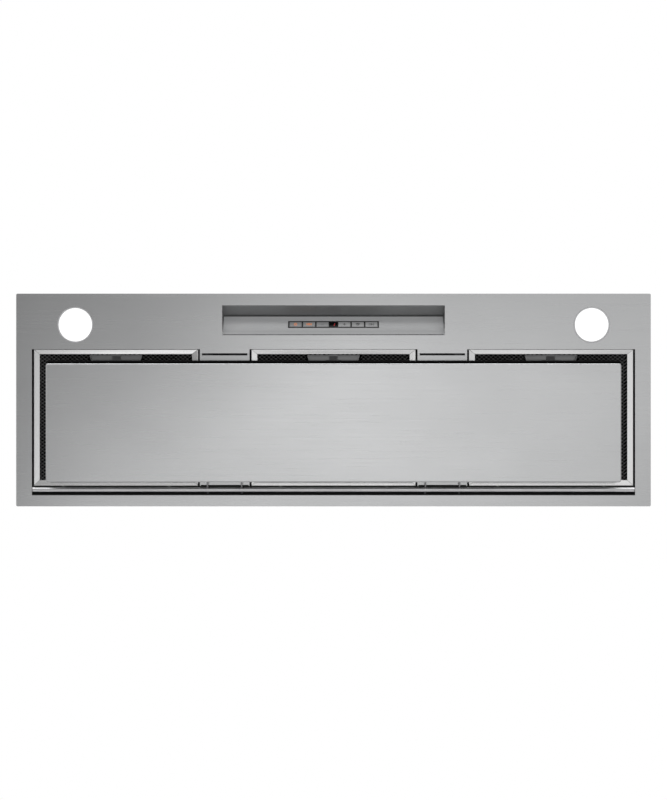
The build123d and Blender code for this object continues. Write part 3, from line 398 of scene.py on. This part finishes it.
# ---------------------------------------------------------------- plastics, lens, board
def moulded(name, tone, gloss, grain_depth=0.00003, shine=0.5):
    """Moulded plastic or rubber with a spark-eroded texture."""
    material, tree, shader = start_material(name)
    shader.inputs["Specular IOR Level"].default_value = shine
    texture = noise(tree, 1800.0, detail=3.0)
    cloud = noise(tree, 40.0, detail=2.0)
    coat(tree, shader, blend_colours(tree, cloud, scaled(tone, 0.88), scaled(tone, 1.12)),
         core(tree, texture, *gloss), texture, grain_depth)
    return material


def opal_lens(name):
    """Opal diffuser over a lit lamp, with faint cloudiness."""
    material, tree, shader = start_material(name)
    shader.inputs["Emission Color"].default_value = (1.0, 1.0, 1.0, 1.0)
    shader.inputs["Emission Strength"].default_value = lens_glow
    cloud = noise(tree, 300.0, detail=2.0)
    coat(tree, shader, blend_colours(tree, cloud, (0.86, 0.87, 0.87), (0.92, 0.92, 0.91)),
         spread(tree, cloud, 0.22, 0.34), cloud, 0.00001)
    return material


def smoked_window(name):
    """Dark glossy display window."""
    material, tree, shader = start_material(name)
    shader.inputs["Specular IOR Level"].default_value = window_shine
    dust = noise(tree, 2500.0, detail=2.0)
    coat(tree, shader, blend_colours(tree, dust, (0.002, 0.002, 0.002), (0.004, 0.004, 0.004)),
         spread(tree, dust, 0.06, 0.12))
    return material


def glowing_mark(name, colour, strength):
    """Lit or printed mark on a key or the display."""
    material, tree, shader = start_material(name)
    shader.inputs["Emission Color"].default_value = (*colour, 1.0)
    shader.inputs["Emission Strength"].default_value = strength
    speck = noise(tree, 4000.0, detail=1.0)
    coat(tree, shader, blend_colours(tree, speck, scaled(colour, 0.8), colour),
         spread(tree, speck, 0.35, 0.5))
    return material


def circuit_board(name):
    """Solder mask in two greens, in square patches with a low edge."""
    material, tree, shader = start_material(name)
    cells = add(tree, "ShaderNodeTexVoronoi", Vector=on_object(tree, 220.0), Scale=1.0)
    cells.distance = "CHEBYCHEV"
    track = spread(tree, cells.outputs["Distance"], 0.0, 1.0, 0.35, 0.45)
    coat(tree, shader, blend_colours(tree, track, (0.012, 0.075, 0.030), (0.020, 0.130, 0.050)),
         spread(tree, track, 0.25, 0.40), track, 0.00004)
    return material


# ---------------------------------------------------------------- the finishes
fascia_steel = brushed_steel("fascia_steel", 0.50)
panel_steel = brushed_steel("panel_steel", 0.53)
bridge_steel = brushed_steel("bridge_steel", 0.45)
# painted light: this lacquer is painted about twice as pale at the face's deep edge, where the recess
# shades it
recess_lacquer_painted_light = lacquer_with_painted_light("recess_lacquer_painted_light", (0.385, 0.39, 0.395), (0.79, 0.80, 0.81))
# painted shade: the recess's front slope gets a darker tone than the fascia's steel, for the shade
# inside the recess
pocket_steel_painted_shade = brushed_steel("pocket_steel_painted_shade", 0.36, gloss=(0.46, 0.56))
# painted shade: the handle cups get a darker tone than the other stainless, for the shade in the cups
cup_steel_painted_shade = brushed_steel("cup_steel_painted_shade", 0.29, gloss=(0.36, 0.50))
rod_steel = plain_metal("rod_steel", (0.72, 0.72, 0.73), (0.28, 0.38))
# painted shade: the hinge arms are painted dark grey so they sink into the shade of the slot they pass
# through
arm_steel_painted_shade = plain_metal("arm_steel_painted_shade", (0.22, 0.22, 0.225), (0.40, 0.52))
# painted shade: the rear channel is painted near black for the deep unlit slot behind the hinge rod
channel_painted_shade = plain_metal("channel_painted_shade", (0.010, 0.010, 0.010), (0.50, 0.65), metallic=0.0)
inner_steel = plain_metal("inner_steel", (0.42, 0.42, 0.43), (0.32, 0.46))
spring_steel = plain_metal("spring_steel", (0.46, 0.45, 0.43), (0.20, 0.30))
# painted shade: the far tone is near black, standing for the shade deep in the pad
expanded_alloy_painted_shade = alloy_with_painted_shade("expanded_alloy_painted_shade", (0.14, 0.14, 0.14), (0.003, 0.003, 0.003))
cast_alloy = plain_metal("cast_alloy", (0.62, 0.62, 0.63), (0.42, 0.56), fleck=400.0)
rolled_alloy = plain_metal("rolled_alloy", (0.55, 0.55, 0.56), (0.28, 0.42))
zinc_sheet = galvanised_steel("zinc_sheet")
zinc_screw = plain_metal("zinc_screw", (0.58, 0.57, 0.54), (0.22, 0.36))
black_enamel = plain_metal("black_enamel", (0.020, 0.020, 0.022), (0.28, 0.42), metallic=0.0)
# partly painted shade: on the panel trim this near-black, shineless moulding stands for the shade along
# the panel's front edge; the catch magnets are plainly black
black_moulding_and_painted_shade = moulded("black_moulding_and_painted_shade", (0.003, 0.003, 0.003), (0.42, 0.58), shine=0.02)
carrier_moulding = moulded("carrier_moulding", (0.035, 0.035, 0.037), (0.42, 0.58), shine=0.2)
latch_moulding = moulded("latch_moulding", (0.20, 0.20, 0.205), (0.45, 0.60), shine=0.25)
collar_moulding = moulded("collar_moulding", (0.028, 0.028, 0.030), (0.42, 0.60), grain_depth=0.00006)
key_moulding = moulded("key_moulding", (0.34, 0.345, 0.35), (0.34, 0.46), grain_depth=0.00001)
key_moulding_pale = moulded("key_moulding_pale", (0.46, 0.465, 0.47), (0.34, 0.46), grain_depth=0.00001)
white_moulding = moulded("white_moulding", (0.72, 0.72, 0.70), (0.30, 0.42))
bush_rubber = moulded("bush_rubber", (0.018, 0.018, 0.018), (0.60, 0.78), grain_depth=0.00005)
board_mask = circuit_board("board_mask")
lamp_opal = opal_lens("lamp_opal")
window_smoke = smoked_window("window_smoke")
mark_amber = glowing_mark("mark_amber", (0.80, 0.30, 0.10), 0.35)
mark_dark = glowing_mark("mark_dark", (0.03, 0.03, 0.035), 0.0)
mark_grey = glowing_mark("mark_grey", (0.12, 0.12, 0.125), 0.0)
digit_red = glowing_mark("digit_red", (0.70, 0.04, 0.05), 0.55)


def finish_nodes():
    """Each CAD node that stays in view gets its finish."""
    finishes = {
        fascia_steel: ["fascia"],
        bridge_steel: ["bridge_left", "bridge_right"],
        recess_lacquer_painted_light: ["control_face"],
        pocket_steel_painted_shade: ["control_pocket"],
        panel_steel: ["panel_skin"],
        cup_steel_painted_shade: [f"filter_cup_{name}" for name in filter_names],
        rod_steel: ["hinge_rod", "damper_rod", "motor_shaft"],
        inner_steel: ["panel_liner", "catch_strikes", "motor_spider"],
        channel_painted_shade: ["rear_channel"],
        arm_steel_painted_shade: ["hinge_brackets"],
        spring_steel: ["latch_springs"],
        cast_alloy: ["lamp_body_left", "lamp_body_right"],
        rolled_alloy: ["blower_wheel"],
        zinc_sheet: ["casing_front", "casing_rear", "casing_top", "casing_end_left", "casing_end_right",
                     "motor_housing", "scroll_left", "scroll_right",
                     "electronics_box", "electronics_lid"],
        black_enamel: ["motor"],
        black_moulding_and_painted_shade: ["panel_trim", "catch_magnets"],
        carrier_moulding: ["key_carrier"],
        latch_moulding: [f"filter_latch_{name}" for name in filter_names],
        collar_moulding: ["duct_collar", "damper_flap_front", "damper_flap_rear"],
        key_moulding: ["key_power", "key_light", "key_minus"],
        key_moulding_pale: ["key_plus", "key_timer", "key_boost"],
        white_moulding: ["run_capacitor"],
        bush_rubber: ["cable_bush"],
        board_mask: ["main_board", "key_board"],
        window_smoke: ["display_window"],
    }
    for name in filter_names:
        node = f"filter_frame_{name}"
        finishes[mitred_steel(f"frame_steel_{name}", node)] = [node]
    for material, names in finishes.items():
        for name in names:
            dress(nodes[name], material)


def dress(piece, material):
    """Gives a piece one material."""
    piece.data.materials.clear()
    piece.data.materials.append(material)


# ---------------------------------------------------------------- mesh helpers
def piece_from(name, build, material, body):
    """A finished piece at the origin from a bmesh builder, riding on its body."""
    mesh = bpy.data.meshes.new(name)
    form = bmesh.new()
    build(form)
    bmesh.ops.remove_doubles(form, verts=form.verts, dist=1e-7)
    bmesh.ops.recalc_face_normals(form, faces=form.faces)
    form.to_mesh(mesh)
    form.free()
    piece = bpy.data.objects.new(name, mesh)
    bpy.context.scene.collection.objects.link(piece)
    dress(piece, material)
    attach(piece, body)
    return piece


def smooth(piece):
    """Smooth shading up to the limit's angle, crisp past it."""
    for face in piece.data.polygons:
        face.use_smooth = True
    piece.data.set_sharp_from_angle(angle=smooth_limit)
    return piece


def turned(form, profile, centre, segments):
    """Surface of revolution about Z through the centre; the profile holds (radius, height)."""
    loops = []
    for radius, height in profile:
        if radius == 0:
            loops.append([form.verts.new((centre[0], centre[1], height))])
            continue
        loop = []
        for step in range(segments):
            angle = 2 * math.pi * step / segments
            loop.append(form.verts.new((centre[0] + radius * math.cos(angle),
                                        centre[1] + radius * math.sin(angle), height)))
        loops.append(loop)
    for inner, outer in zip(loops, loops[1:]):
        for step in range(segments):
            after = (step + 1) % segments
            corners = [inner[step % len(inner)], outer[step % len(outer)],
                       outer[after % len(outer)], inner[after % len(inner)]]
            form.faces.new(list(dict.fromkeys(corners)))


# ---------------------------------------------------------------- lamps
def lamp_lens(side):
    """Opal lens with a rounded edge and a slight dome towards the cook."""
    low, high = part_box(f"lamp_lens_{side}")
    centre = ((low.x + high.x) / 2, (low.y + high.y) / 2)
    radius = (high.x - low.x) / 2
    profile = [(0.0, high.z), (radius - lens_edge / 2, high.z), (radius, high.z - lens_edge / 2),
               (radius, low.z + lens_dome + lens_edge)]
    for step in range(1, lens_edge_steps + 1):
        angle = step * math.pi / 2 / lens_edge_steps
        profile.append((radius - lens_edge * (1 - math.cos(angle)),
                        low.z + lens_dome + lens_edge * (1 - math.sin(angle))))
    flat = radius - lens_edge
    for ring in range(lens_rings - 1, -1, -1):
        share = ring / lens_rings
        profile.append((flat * share, low.z + lens_dome * share ** 2))
    lens = piece_from(f"opal_lens_{side}", lambda form: turned(form, profile, centre, lens_segments),
                      lamp_opal, "housing")
    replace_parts(smooth(lens), f"lamp_lens_{side}")


# ---------------------------------------------------------------- keys and display
press = Vector(joints["key_power_press"]["axis"]).normalized()
strip_out = -press
strip_up = Vector((1, 0, 0)).cross(press).normalized()


def strip_spot(node):
    """Middle of a strip piece's outer face."""
    points = [vertex.co for vertex in nodes[node].data.vertices]
    level = max(point.dot(strip_out) for point in points)
    heights = [point.dot(strip_up) for point in points if point.dot(strip_out) > level - on_level]
    across = [point.x for point in points]
    middle = (min(across) + max(across)) / 2
    return Vector((middle, 0, 0)) + strip_out * level + strip_up * (min(heights) + max(heights)) / 2


def stroke(form, spot, start, end, width):
    """Flat bar between two points of a glyph, given across and up from its middle."""
    start, end = Vector(start), Vector(end)
    run = (end - start).normalized()
    over = Vector((-run.y, run.x)) * width / 2
    run = run * width / 2
    corners = [start - run - over, end + run - over, end + run + over, start - run + over]
    rings = []
    for lift in (glyph_lift, glyph_lift + glyph_sheet):
        rings.append([form.verts.new(spot + Vector((p.x, 0, 0)) + strip_up * p.y + strip_out * lift)
                      for p in corners])
    form.faces.new(rings[0][::-1])
    form.faces.new(rings[1])
    for step in range(4):
        after = (step + 1) % 4
        form.faces.new([rings[0][step], rings[0][after], rings[1][after], rings[1][step]])


def arc(form, spot, radius, start, end, width, middle=(0.0, 0.0), steps=14):
    """Curved line of a glyph, in short bars."""
    angles = [math.radians(start + (end - start) * step / steps) for step in range(steps + 1)]
    points = [(middle[0] + radius * math.cos(a), middle[1] + radius * math.sin(a)) for a in angles]
    for first, second in zip(points, points[1:]):
        stroke(form, spot, first, second, width)


def draw_power(form, spot):
    """Open ring with a bar at its top."""
    ring, bar_foot, bar_top = 0.0018, 0.0007, 0.0022
    arc(form, spot, ring, 125, 415, glyph_bold)
    stroke(form, spot, (0, bar_foot), (0, bar_top), glyph_bold)


def draw_light(form, spot):
    """Round lamp with rays to both sides."""
    ring, ray_start, ray_gap, ray_run, ray_rise = 0.0013, 0.0024, 0.0006, 0.0014, 0.0009
    arc(form, spot, ring, 0, 360, glyph_bold)
    for side in (-1, 1):
        for row in (-1, 0, 1):
            start = Vector((side * ray_start, row * ray_gap))
            stroke(form, spot, start, start + Vector((side * ray_run, row * ray_rise)), glyph_stroke)


def draw_minus(form, spot):
    """Short bar."""
    reach = 0.0015
    stroke(form, spot, (-reach, 0), (reach, 0), glyph_stroke)


def draw_plus(form, spot):
    """Cross of two bars."""
    reach = 0.0017
    stroke(form, spot, (-reach, 0), (reach, 0), glyph_bold)
    stroke(form, spot, (0, -reach), (0, reach), glyph_bold)


def draw_timer(form, spot):
    """Clock face with two hands, under a wide arch."""
    face, face_middle, arch, arch_middle = 0.0015, (0, -0.0004), 0.0031, (0, -0.0011)
    arc(form, spot, face, 0, 360, glyph_stroke, face_middle)
    for hand_end in ((0, 0.0006), (0.0007, -0.0004)):
        stroke(form, spot, face_middle, hand_end, glyph_stroke)
    arc(form, spot, arch, 25, 155, glyph_stroke, arch_middle)


def draw_boost(form, spot):
    """Four fan blades between two arcs."""
    blade, blade_out, rim, rim_half = 0.0008, 0.0010, 0.0033, 32
    for angle in (0, 90, 180, 270):
        turn = math.radians(angle)
        middle = (blade_out * math.cos(turn), blade_out * math.sin(turn))
        arc(form, spot, blade, angle + 180, angle + 350, glyph_stroke, middle, steps=8)
    for angle in (0, 180):
        arc(form, spot, rim, angle - rim_half, angle + rim_half, glyph_stroke)


def key_marks():
    """The six key glyphs, each riding on its own key."""
    marks = {"power": (draw_power, mark_amber), "light": (draw_light, mark_amber),
             "minus": (draw_minus, mark_grey), "plus": (draw_plus, mark_dark),
             "timer": (draw_timer, mark_dark), "boost": (draw_boost, mark_grey)}
    for name, (draw, material) in marks.items():
        spot = strip_spot(f"key_{name}")
        piece_from(f"glyph_{name}", lambda form: draw(form, spot), material,
                   f"key_{name}_cap")


def display_figure():
    """The lit figure 1, as the two slanting segments of a seven-segment digit."""
    spot = strip_spot("display_window")
    half = digit_height / 2

    def draw(form):
        for low, high in ((digit_stroke, half - digit_stroke), (-half + digit_stroke, -digit_stroke)):
            ends = [(digit_place + digit_slant * level, level) for level in (low, high)]
            stroke(form, spot, *ends, digit_stroke)

    piece_from("display_figure", draw, digit_red, "housing")


# ---------------------------------------------------------------- geometry nodes
def start_tree(name, inputs):
    """A geometry tree with named inputs of (kind, value)."""
    tree = bpy.data.node_groups.new(name, "GeometryNodeTree")
    for label, (kind, value) in inputs.items():
        socket = tree.interface.new_socket(label, in_out="INPUT", socket_type=kind)
        if value is not None:
            socket.default_value = value
    tree.interface.new_socket("Geometry", in_out="OUTPUT", socket_type="NodeSocketGeometry")
    return tree, tree.nodes.new("NodeGroupInput"), tree.nodes.new("NodeGroupOutput")


def end_tree(tree, finish, geometry, material):
    """Realizes what was placed, sets its material and ends the tree."""
    real = add(tree, "GeometryNodeRealizeInstances", Geometry=geometry)
    painted = add(tree, "GeometryNodeSetMaterial", Geometry=real.outputs[0], Material=material)
    tree.links.new(painted.outputs[0], finish.inputs[0])


def grown(name, tree, values, base, body):
    """Plain mesh that the tree makes from the base mesh with these input values."""
    seed = bpy.data.objects.new(name + "_seed", base)
    bpy.context.scene.collection.objects.link(seed)
    modifier = seed.modifiers.new("grow", "NODES")
    modifier.node_group = tree
    for item in tree.interface.items_tree:
        if item.in_out == "INPUT" and item.name in values:
            modifier[item.identifier] = values[item.name]
    bpy.context.view_layer.update()
    ready = seed.evaluated_get(bpy.context.evaluated_depsgraph_get())
    mesh = bpy.data.meshes.new_from_object(ready)
    mesh.name = name
    seed.modifiers.remove(modifier)
    bpy.data.objects.remove(seed)
    piece = bpy.data.objects.new(name, mesh)
    bpy.context.scene.collection.objects.link(piece)
    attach(piece, body)
    return piece


def vector_from(tree, x=0.0, y=0.0, z=0.0):
    """Vector of three sockets or numbers."""
    return add(tree, "ShaderNodeCombineXYZ", X=x, Y=y, Z=z).outputs[0]


# ---------------------------------------------------------------- expanded mesh
def expanded_mesh_tree():
    """Zigzag strands side by side, bonded where their points meet, which leaves diamonds."""
    tree, start, finish = start_tree("expanded_mesh", {
        "Base": ("NodeSocketGeometry", None),
        "Columns": ("NodeSocketInt", 30),
        "Rows": ("NodeSocketInt", 30),
        "Pitch X": ("NodeSocketFloat", mesh_pitch_x),
        "Pitch Y": ("NodeSocketFloat", mesh_pitch_y),
        "Strand Width": ("NodeSocketFloat", mesh_layers[0][1]),
        "Strand Thickness": ("NodeSocketFloat", mesh_strand_thickness),
        "Tilt": ("NodeSocketFloat", mesh_strand_tilt),
        "Corner": ("NodeSocketVector", (0.0, 0.0, 0.0)),
        "Cup Front": ("NodeSocketFloat", 0.0),
        "Cup Rear": ("NodeSocketFloat", 0.0),
        "Cup Middle": ("NodeSocketFloat", 0.0),
        "Cup Front Half": ("NodeSocketFloat", 0.0),
        "Cup Narrowing": ("NodeSocketFloat", 0.0),
        "Latch Half": ("NodeSocketFloat", mesh_latch_half),
    })
    given = start.outputs
    half_x = maths(tree, "MULTIPLY", given["Pitch X"], 0.5)
    step_y = maths(tree, "MULTIPLY", given["Pitch Y"], 0.5)
    rise = maths(tree, "MULTIPLY", given["Pitch Y"], 0.25)
    line = tree.nodes.new("GeometryNodeMeshLine")
    tree.links.new(maths(tree, "ADD", given["Columns"], 1), line.inputs["Count"])
    tree.links.new(vector_from(tree, x=half_x), line.inputs["Offset"])
    index = tree.nodes.new("GeometryNodeInputIndex").outputs[0]
    odd = maths(tree, "MODULO", index, 2.0)
    wave = maths(tree, "MULTIPLY", maths(tree, "SUBTRACT", odd, 0.5), 2.0)
    lifted = add(tree, "GeometryNodeSetPosition", Geometry=line.outputs[0],
                 Offset=vector_from(tree, y=maths(tree, "MULTIPLY", wave, rise)))
    curve = add(tree, "GeometryNodeMeshToCurve", Mesh=lifted.outputs[0])
    section = add(tree, "GeometryNodeCurvePrimitiveQuadrilateral", Width=given["Strand Width"],
                  Height=given["Strand Thickness"])
    leaning = add(tree, "GeometryNodeTransform", Geometry=section.outputs[0],
                  Rotation=vector_from(tree, z=given["Tilt"]))
    strand = add(tree, "GeometryNodeCurveToMesh", Curve=curve.outputs[0],
                 Profile_Curve=leaning.outputs[0], Fill_Caps=True)
    rows = tree.nodes.new("GeometryNodeMeshLine")
    tree.links.new(given["Rows"], rows.inputs["Count"])
    tree.links.new(vector_from(tree, y=step_y), rows.inputs["Offset"])
    shift = maths(tree, "MULTIPLY", odd, half_x)
    staggered = add(tree, "GeometryNodeSetPosition", Geometry=rows.outputs[0],
                    Offset=vector_from(tree, x=maths(tree, "MULTIPLY", shift, -1.0)))
    placed = add(tree, "GeometryNodeInstanceOnPoints", Points=staggered.outputs[0],
                 Instance=strand.outputs[0])
    moved = add(tree, "GeometryNodeTransform", Geometry=placed.outputs[0], Translation=given["Corner"])
    real = add(tree, "GeometryNodeRealizeInstances", Geometry=moved.outputs[0])
    position = tree.nodes.new("GeometryNodeInputPosition").outputs[0]
    spot = add(tree, "ShaderNodeSeparateXYZ", Vector=position)
    from_front = maths(tree, "SUBTRACT", spot.outputs["Y"], given["Cup Front"])
    half = maths(tree, "SUBTRACT", given["Cup Front Half"],
                  maths(tree, "MULTIPLY", from_front, given["Cup Narrowing"]))
    off_middle = maths(tree, "ABSOLUTE",
                       maths(tree, "SUBTRACT", spot.outputs["X"], given["Cup Middle"]))
    beside = maths(tree, "LESS_THAN", off_middle, half)
    before = maths(tree, "LESS_THAN", spot.outputs["Y"], given["Cup Rear"])
    behind = maths(tree, "GREATER_THAN", from_front, 0.0)
    in_cup = maths(tree, "MULTIPLY", beside, behind)
    on_latch = maths(tree, "LESS_THAN", off_middle, given["Latch Half"])
    taken = maths(tree, "MULTIPLY", maths(tree, "MAXIMUM", in_cup, on_latch), before)
    cleared = add(tree, "GeometryNodeDeleteGeometry", Geometry=real.outputs[0], Selection=taken)
    end_tree(tree, finish, cleared.outputs[0], expanded_alloy_painted_shade)
    return tree


def expanded_mesh(name, tree):
    """Layers of expanded mesh in one filter's frame, one piece for each layer."""
    low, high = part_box(f"filter_mesh_{name}")
    cup_low, cup_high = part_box(f"filter_cup_{name}")
    inset = Vector((mesh_channel_gap, mesh_channel_gap, 0))
    low, high = low + inset, high - inset
    front_half = (cup_high.x - cup_low.x) / 2 + mesh_cup_gap
    narrowing = (front_half - mesh_cup_gap - cup_half_at_rear(name)) / (cup_high.y - cup_low.y)
    layers = []
    for index, (level, strand_width) in enumerate(mesh_layers):
        shift = mesh_pitch_y * mesh_layer_shift * index
        rows = int((high.y - low.y - shift - mesh_pitch_y / 2) / (mesh_pitch_y / 2))
        columns = int((high.x - low.x - mesh_pitch_x) / (mesh_pitch_x / 2))
        corner = (low.x + mesh_pitch_x / 2, low.y + shift + mesh_pitch_y / 4, low.z + level)
        values = {"Columns": columns, "Rows": rows, "Corner": corner, "Strand Width": strand_width,
                  "Cup Front": cup_low.y - mesh_cup_gap, "Cup Rear": cup_high.y + mesh_cup_gap,
                  "Cup Middle": (cup_low.x + cup_high.x) / 2,
                  "Cup Front Half": front_half, "Cup Narrowing": narrowing}
        base = bpy.data.meshes.new("empty")
        layers.append(grown(f"mesh_{name}_{index}", tree, values, base, "housing"))
    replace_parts(layers[0], f"filter_mesh_{name}")


def cup_half_at_rear(name):
    """Half width of a handle cup at its rear end."""
    cup_low, cup_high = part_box(f"filter_cup_{name}")
    middle = (cup_low.x + cup_high.x) / 2
    points = [vertex.co for vertex in nodes[f"filter_cup_{name}"].data.vertices]
    return max(abs(point.x - middle) for point in points if point.y > cup_high.y - on_level)


# ---------------------------------------------------------------- casing screws
def screw_tree():
    """A hexagon washer-head screw at each point, standing along the point's stored direction."""
    tree, start, finish = start_tree("sheet_screws", {
        "Base": ("NodeSocketGeometry", None),
        "Washer Radius": ("NodeSocketFloat", screw_washer_radius),
        "Washer Height": ("NodeSocketFloat", screw_washer_height),
        "Hexagon Radius": ("NodeSocketFloat", screw_hex_radius),
        "Hexagon Height": ("NodeSocketFloat", screw_hex_height),
    })
    given = start.outputs
    washer = add(tree, "GeometryNodeMeshCone", Vertices=20, Radius_Top=given["Hexagon Radius"],
                 Radius_Bottom=given["Washer Radius"], Depth=given["Washer Height"])
    hexagon = add(tree, "GeometryNodeMeshCylinder", Vertices=6, Radius=given["Hexagon Radius"],
                  Depth=given["Hexagon Height"])
    crown = add(tree, "GeometryNodeMeshCone", Vertices=18,
                Depth=maths(tree, "MULTIPLY", given["Washer Height"], 0.5),
                Radius_Bottom=maths(tree, "MULTIPLY", given["Hexagon Radius"], screw_crown_foot),
                Radius_Top=maths(tree, "MULTIPLY", given["Hexagon Radius"], screw_crown_top))
    half = maths(tree, "MULTIPLY", given["Hexagon Height"], 0.5)
    hexagon_up = add(tree, "GeometryNodeTransform", Geometry=hexagon.outputs[0],
                     Translation=vector_from(tree, z=maths(tree, "ADD", half, given["Washer Height"])))
    top = maths(tree, "ADD", given["Hexagon Height"], given["Washer Height"])
    crown_up = add(tree, "GeometryNodeTransform", Geometry=crown.outputs[0],
                   Translation=vector_from(tree, z=top))
    head = tree.nodes.new("GeometryNodeJoinGeometry")
    for part in (washer, hexagon_up, crown_up):
        tree.links.new(part.outputs[0], head.inputs[0])
    stored = tree.nodes.new("GeometryNodeInputNamedAttribute")
    stored.data_type = "FLOAT_VECTOR"
    stored.inputs[0].default_value = "stands"
    turn = tree.nodes.new("FunctionNodeAlignRotationToVector")
    turn.axis = "Z"
    tree.links.new(stored.outputs[0], turn.inputs["Vector"])
    points = add(tree, "GeometryNodeMeshToPoints", Mesh=given["Base"])
    placed = add(tree, "GeometryNodeInstanceOnPoints", Points=points.outputs[0],
                 Instance=head.outputs[0], Rotation=turn.outputs[0])
    end_tree(tree, finish, placed.outputs[0], zinc_screw)
    return tree


def screw_places():
    """Foot point and direction of each screw on the casing, the motor housing and the collar."""
    low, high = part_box("casing_front")[0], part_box("casing_rear")[1]
    housing_low, housing_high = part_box("motor_housing")
    collar_low, collar_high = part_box("duct_collar")
    x = high.x - screw_edge
    places = []
    for side in (-1, 1):
        for level in (screw_low, screw_high):
            places.append(((side * x, low.y, low.z + level), (0, -1, 0)))
            places.append(((side * x, high.y, low.z + level), (0, 1, 0)))
        for y in (-screw_top_reach, screw_top_reach):
            places.append(((side * x, y, high.z), (0, 0, 1)))
        for y in (-screw_foot_reach, screw_foot_reach):
            foot = housing_high.x - screw_foot_inset
            places.append(((side * foot, y, housing_low.z + housing_sheet), (0, 0, 1)))
    reach = collar_high.x - collar_flange / 2
    for index in range(collar_screws):
        angle = math.radians(collar_screw_start + index * 360 / collar_screws)
        spot = (reach * math.cos(angle), reach * math.sin(angle), collar_low.z + collar_flange_sheet)
        places.append((spot, (0, 0, 1)))
    return places


def casing_screws():
    """All sheet-metal screws of the casing as one piece."""
    places = screw_places()
    base = bpy.data.meshes.new("screw_points")
    base.from_pydata([spot for spot, _ in places], [], [])
    stands = base.attributes.new("stands", "FLOAT_VECTOR", "POINT")
    stands.data.foreach_set("vector", [part for _, way in places for part in way])
    grown("casing_screws", screw_tree(), {}, base, "housing")


# ---------------------------------------------------------------- studio
def studio_floor():
    """Pale floor far below the camera."""
    material, tree, shader = start_material("floor_paint")
    shader.inputs["Roughness"].default_value = floor_roughness
    cloud = noise(tree, 0.6, detail=2.0)
    tree.links.new(blend_colours(tree, cloud, *floor_tones), shader.inputs["Base Color"])
    half = floor_side / 2
    mesh = bpy.data.meshes.new("studio_floor")
    mesh.from_pydata([(-half, -half, floor_level), (half, -half, floor_level),
                      (half, half, floor_level), (-half, half, floor_level)], [], [(0, 1, 2, 3)])
    floor = bpy.data.objects.new("studio_floor", mesh)
    bpy.context.scene.collection.objects.link(floor)
    floor.data.materials.append(material)


def studio_world():
    """Even soft light, and plain white behind the object and in what it reflects."""
    world = bpy.data.worlds.new("studio")
    bpy.context.scene.world = world
    world.use_nodes = True
    tree = world.node_tree
    soft = tree.nodes["Background"]
    soft.inputs["Color"].default_value = (1.0, 1.0, 1.0, 1.0)
    soft.inputs["Strength"].default_value = world_strength
    white = add(tree, "ShaderNodeBackground", Color=(1.0, 1.0, 1.0, 1.0), Strength=1.0)
    ray = tree.nodes.new("ShaderNodeLightPath").outputs
    seen = maths(tree, "MAXIMUM", ray["Is Camera Ray"], ray["Is Glossy Ray"])
    seen = maths(tree, "MAXIMUM", seen, ray["Is Transmission Ray"])
    either = tree.nodes.new("ShaderNodeMixShader")
    tree.links.new(seen, either.inputs[0])
    tree.links.new(soft.outputs[0], either.inputs[1])
    tree.links.new(white.outputs[0], either.inputs[2])
    tree.links.new(either.outputs[0], tree.nodes["World Output"].inputs[0])


def soft_light(name, place, aim, size, brightness):
    """Rectangular soft light of this brightness, out of the camera's sight."""
    data = bpy.data.lights.new(name, "AREA")
    data.shape = "RECTANGLE"
    data.size, data.size_y = size
    data.energy = brightness * math.pi * size[0] * size[1]
    light = bpy.data.objects.new(name, data)
    bpy.context.scene.collection.objects.link(light)
    light.location = place
    light.rotation_euler = (Vector(aim) - Vector(place)).to_track_quat("-Z", "Y").to_euler()
    light.visible_camera = False


def studio_lights():
    """Soft boxes side by side under the object, one in front of it and one over it."""
    for index, ((x, y), brightness) in enumerate(under_boxes.items()):
        soft_light(f"under_box_{index}", (x, y, under_level), (x, y, 0.0), (under_box_side,) * 2,
                   brightness)
    for name, (place, aim, size, brightness) in large_boxes.items():
        soft_light(name, place, aim, size, brightness)


def studio_camera():
    """Camera straight below the fascia, looking up, with the cook's side at the picture's top."""
    data = bpy.data.cameras.new("camera")
    data.sensor_width = sensor * 1000
    data.lens = 1000 * sensor * camera_distance / (photo_scale * photo_height)
    data.clip_end = view_limit
    camera = bpy.data.objects.new("camera", data)
    bpy.context.scene.collection.objects.link(camera)
    camera.location = (0.0, 0.0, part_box("fascia")[0].z - camera_distance)
    camera.rotation_euler = (math.pi, 0.0, 0.0)
    bpy.context.scene.camera = camera


# ---------------------------------------------------------------- the scene
bpy.context.scene.view_settings.view_transform = "Standard"
studio_camera()
studio_world()
studio_floor()
studio_lights()
finish_nodes()
for side in lamp_sides:
    lamp_lens(side)
key_marks()
display_figure()
strands = expanded_mesh_tree()
for name in filter_names:
    expanded_mesh(name, strands)
casing_screws()
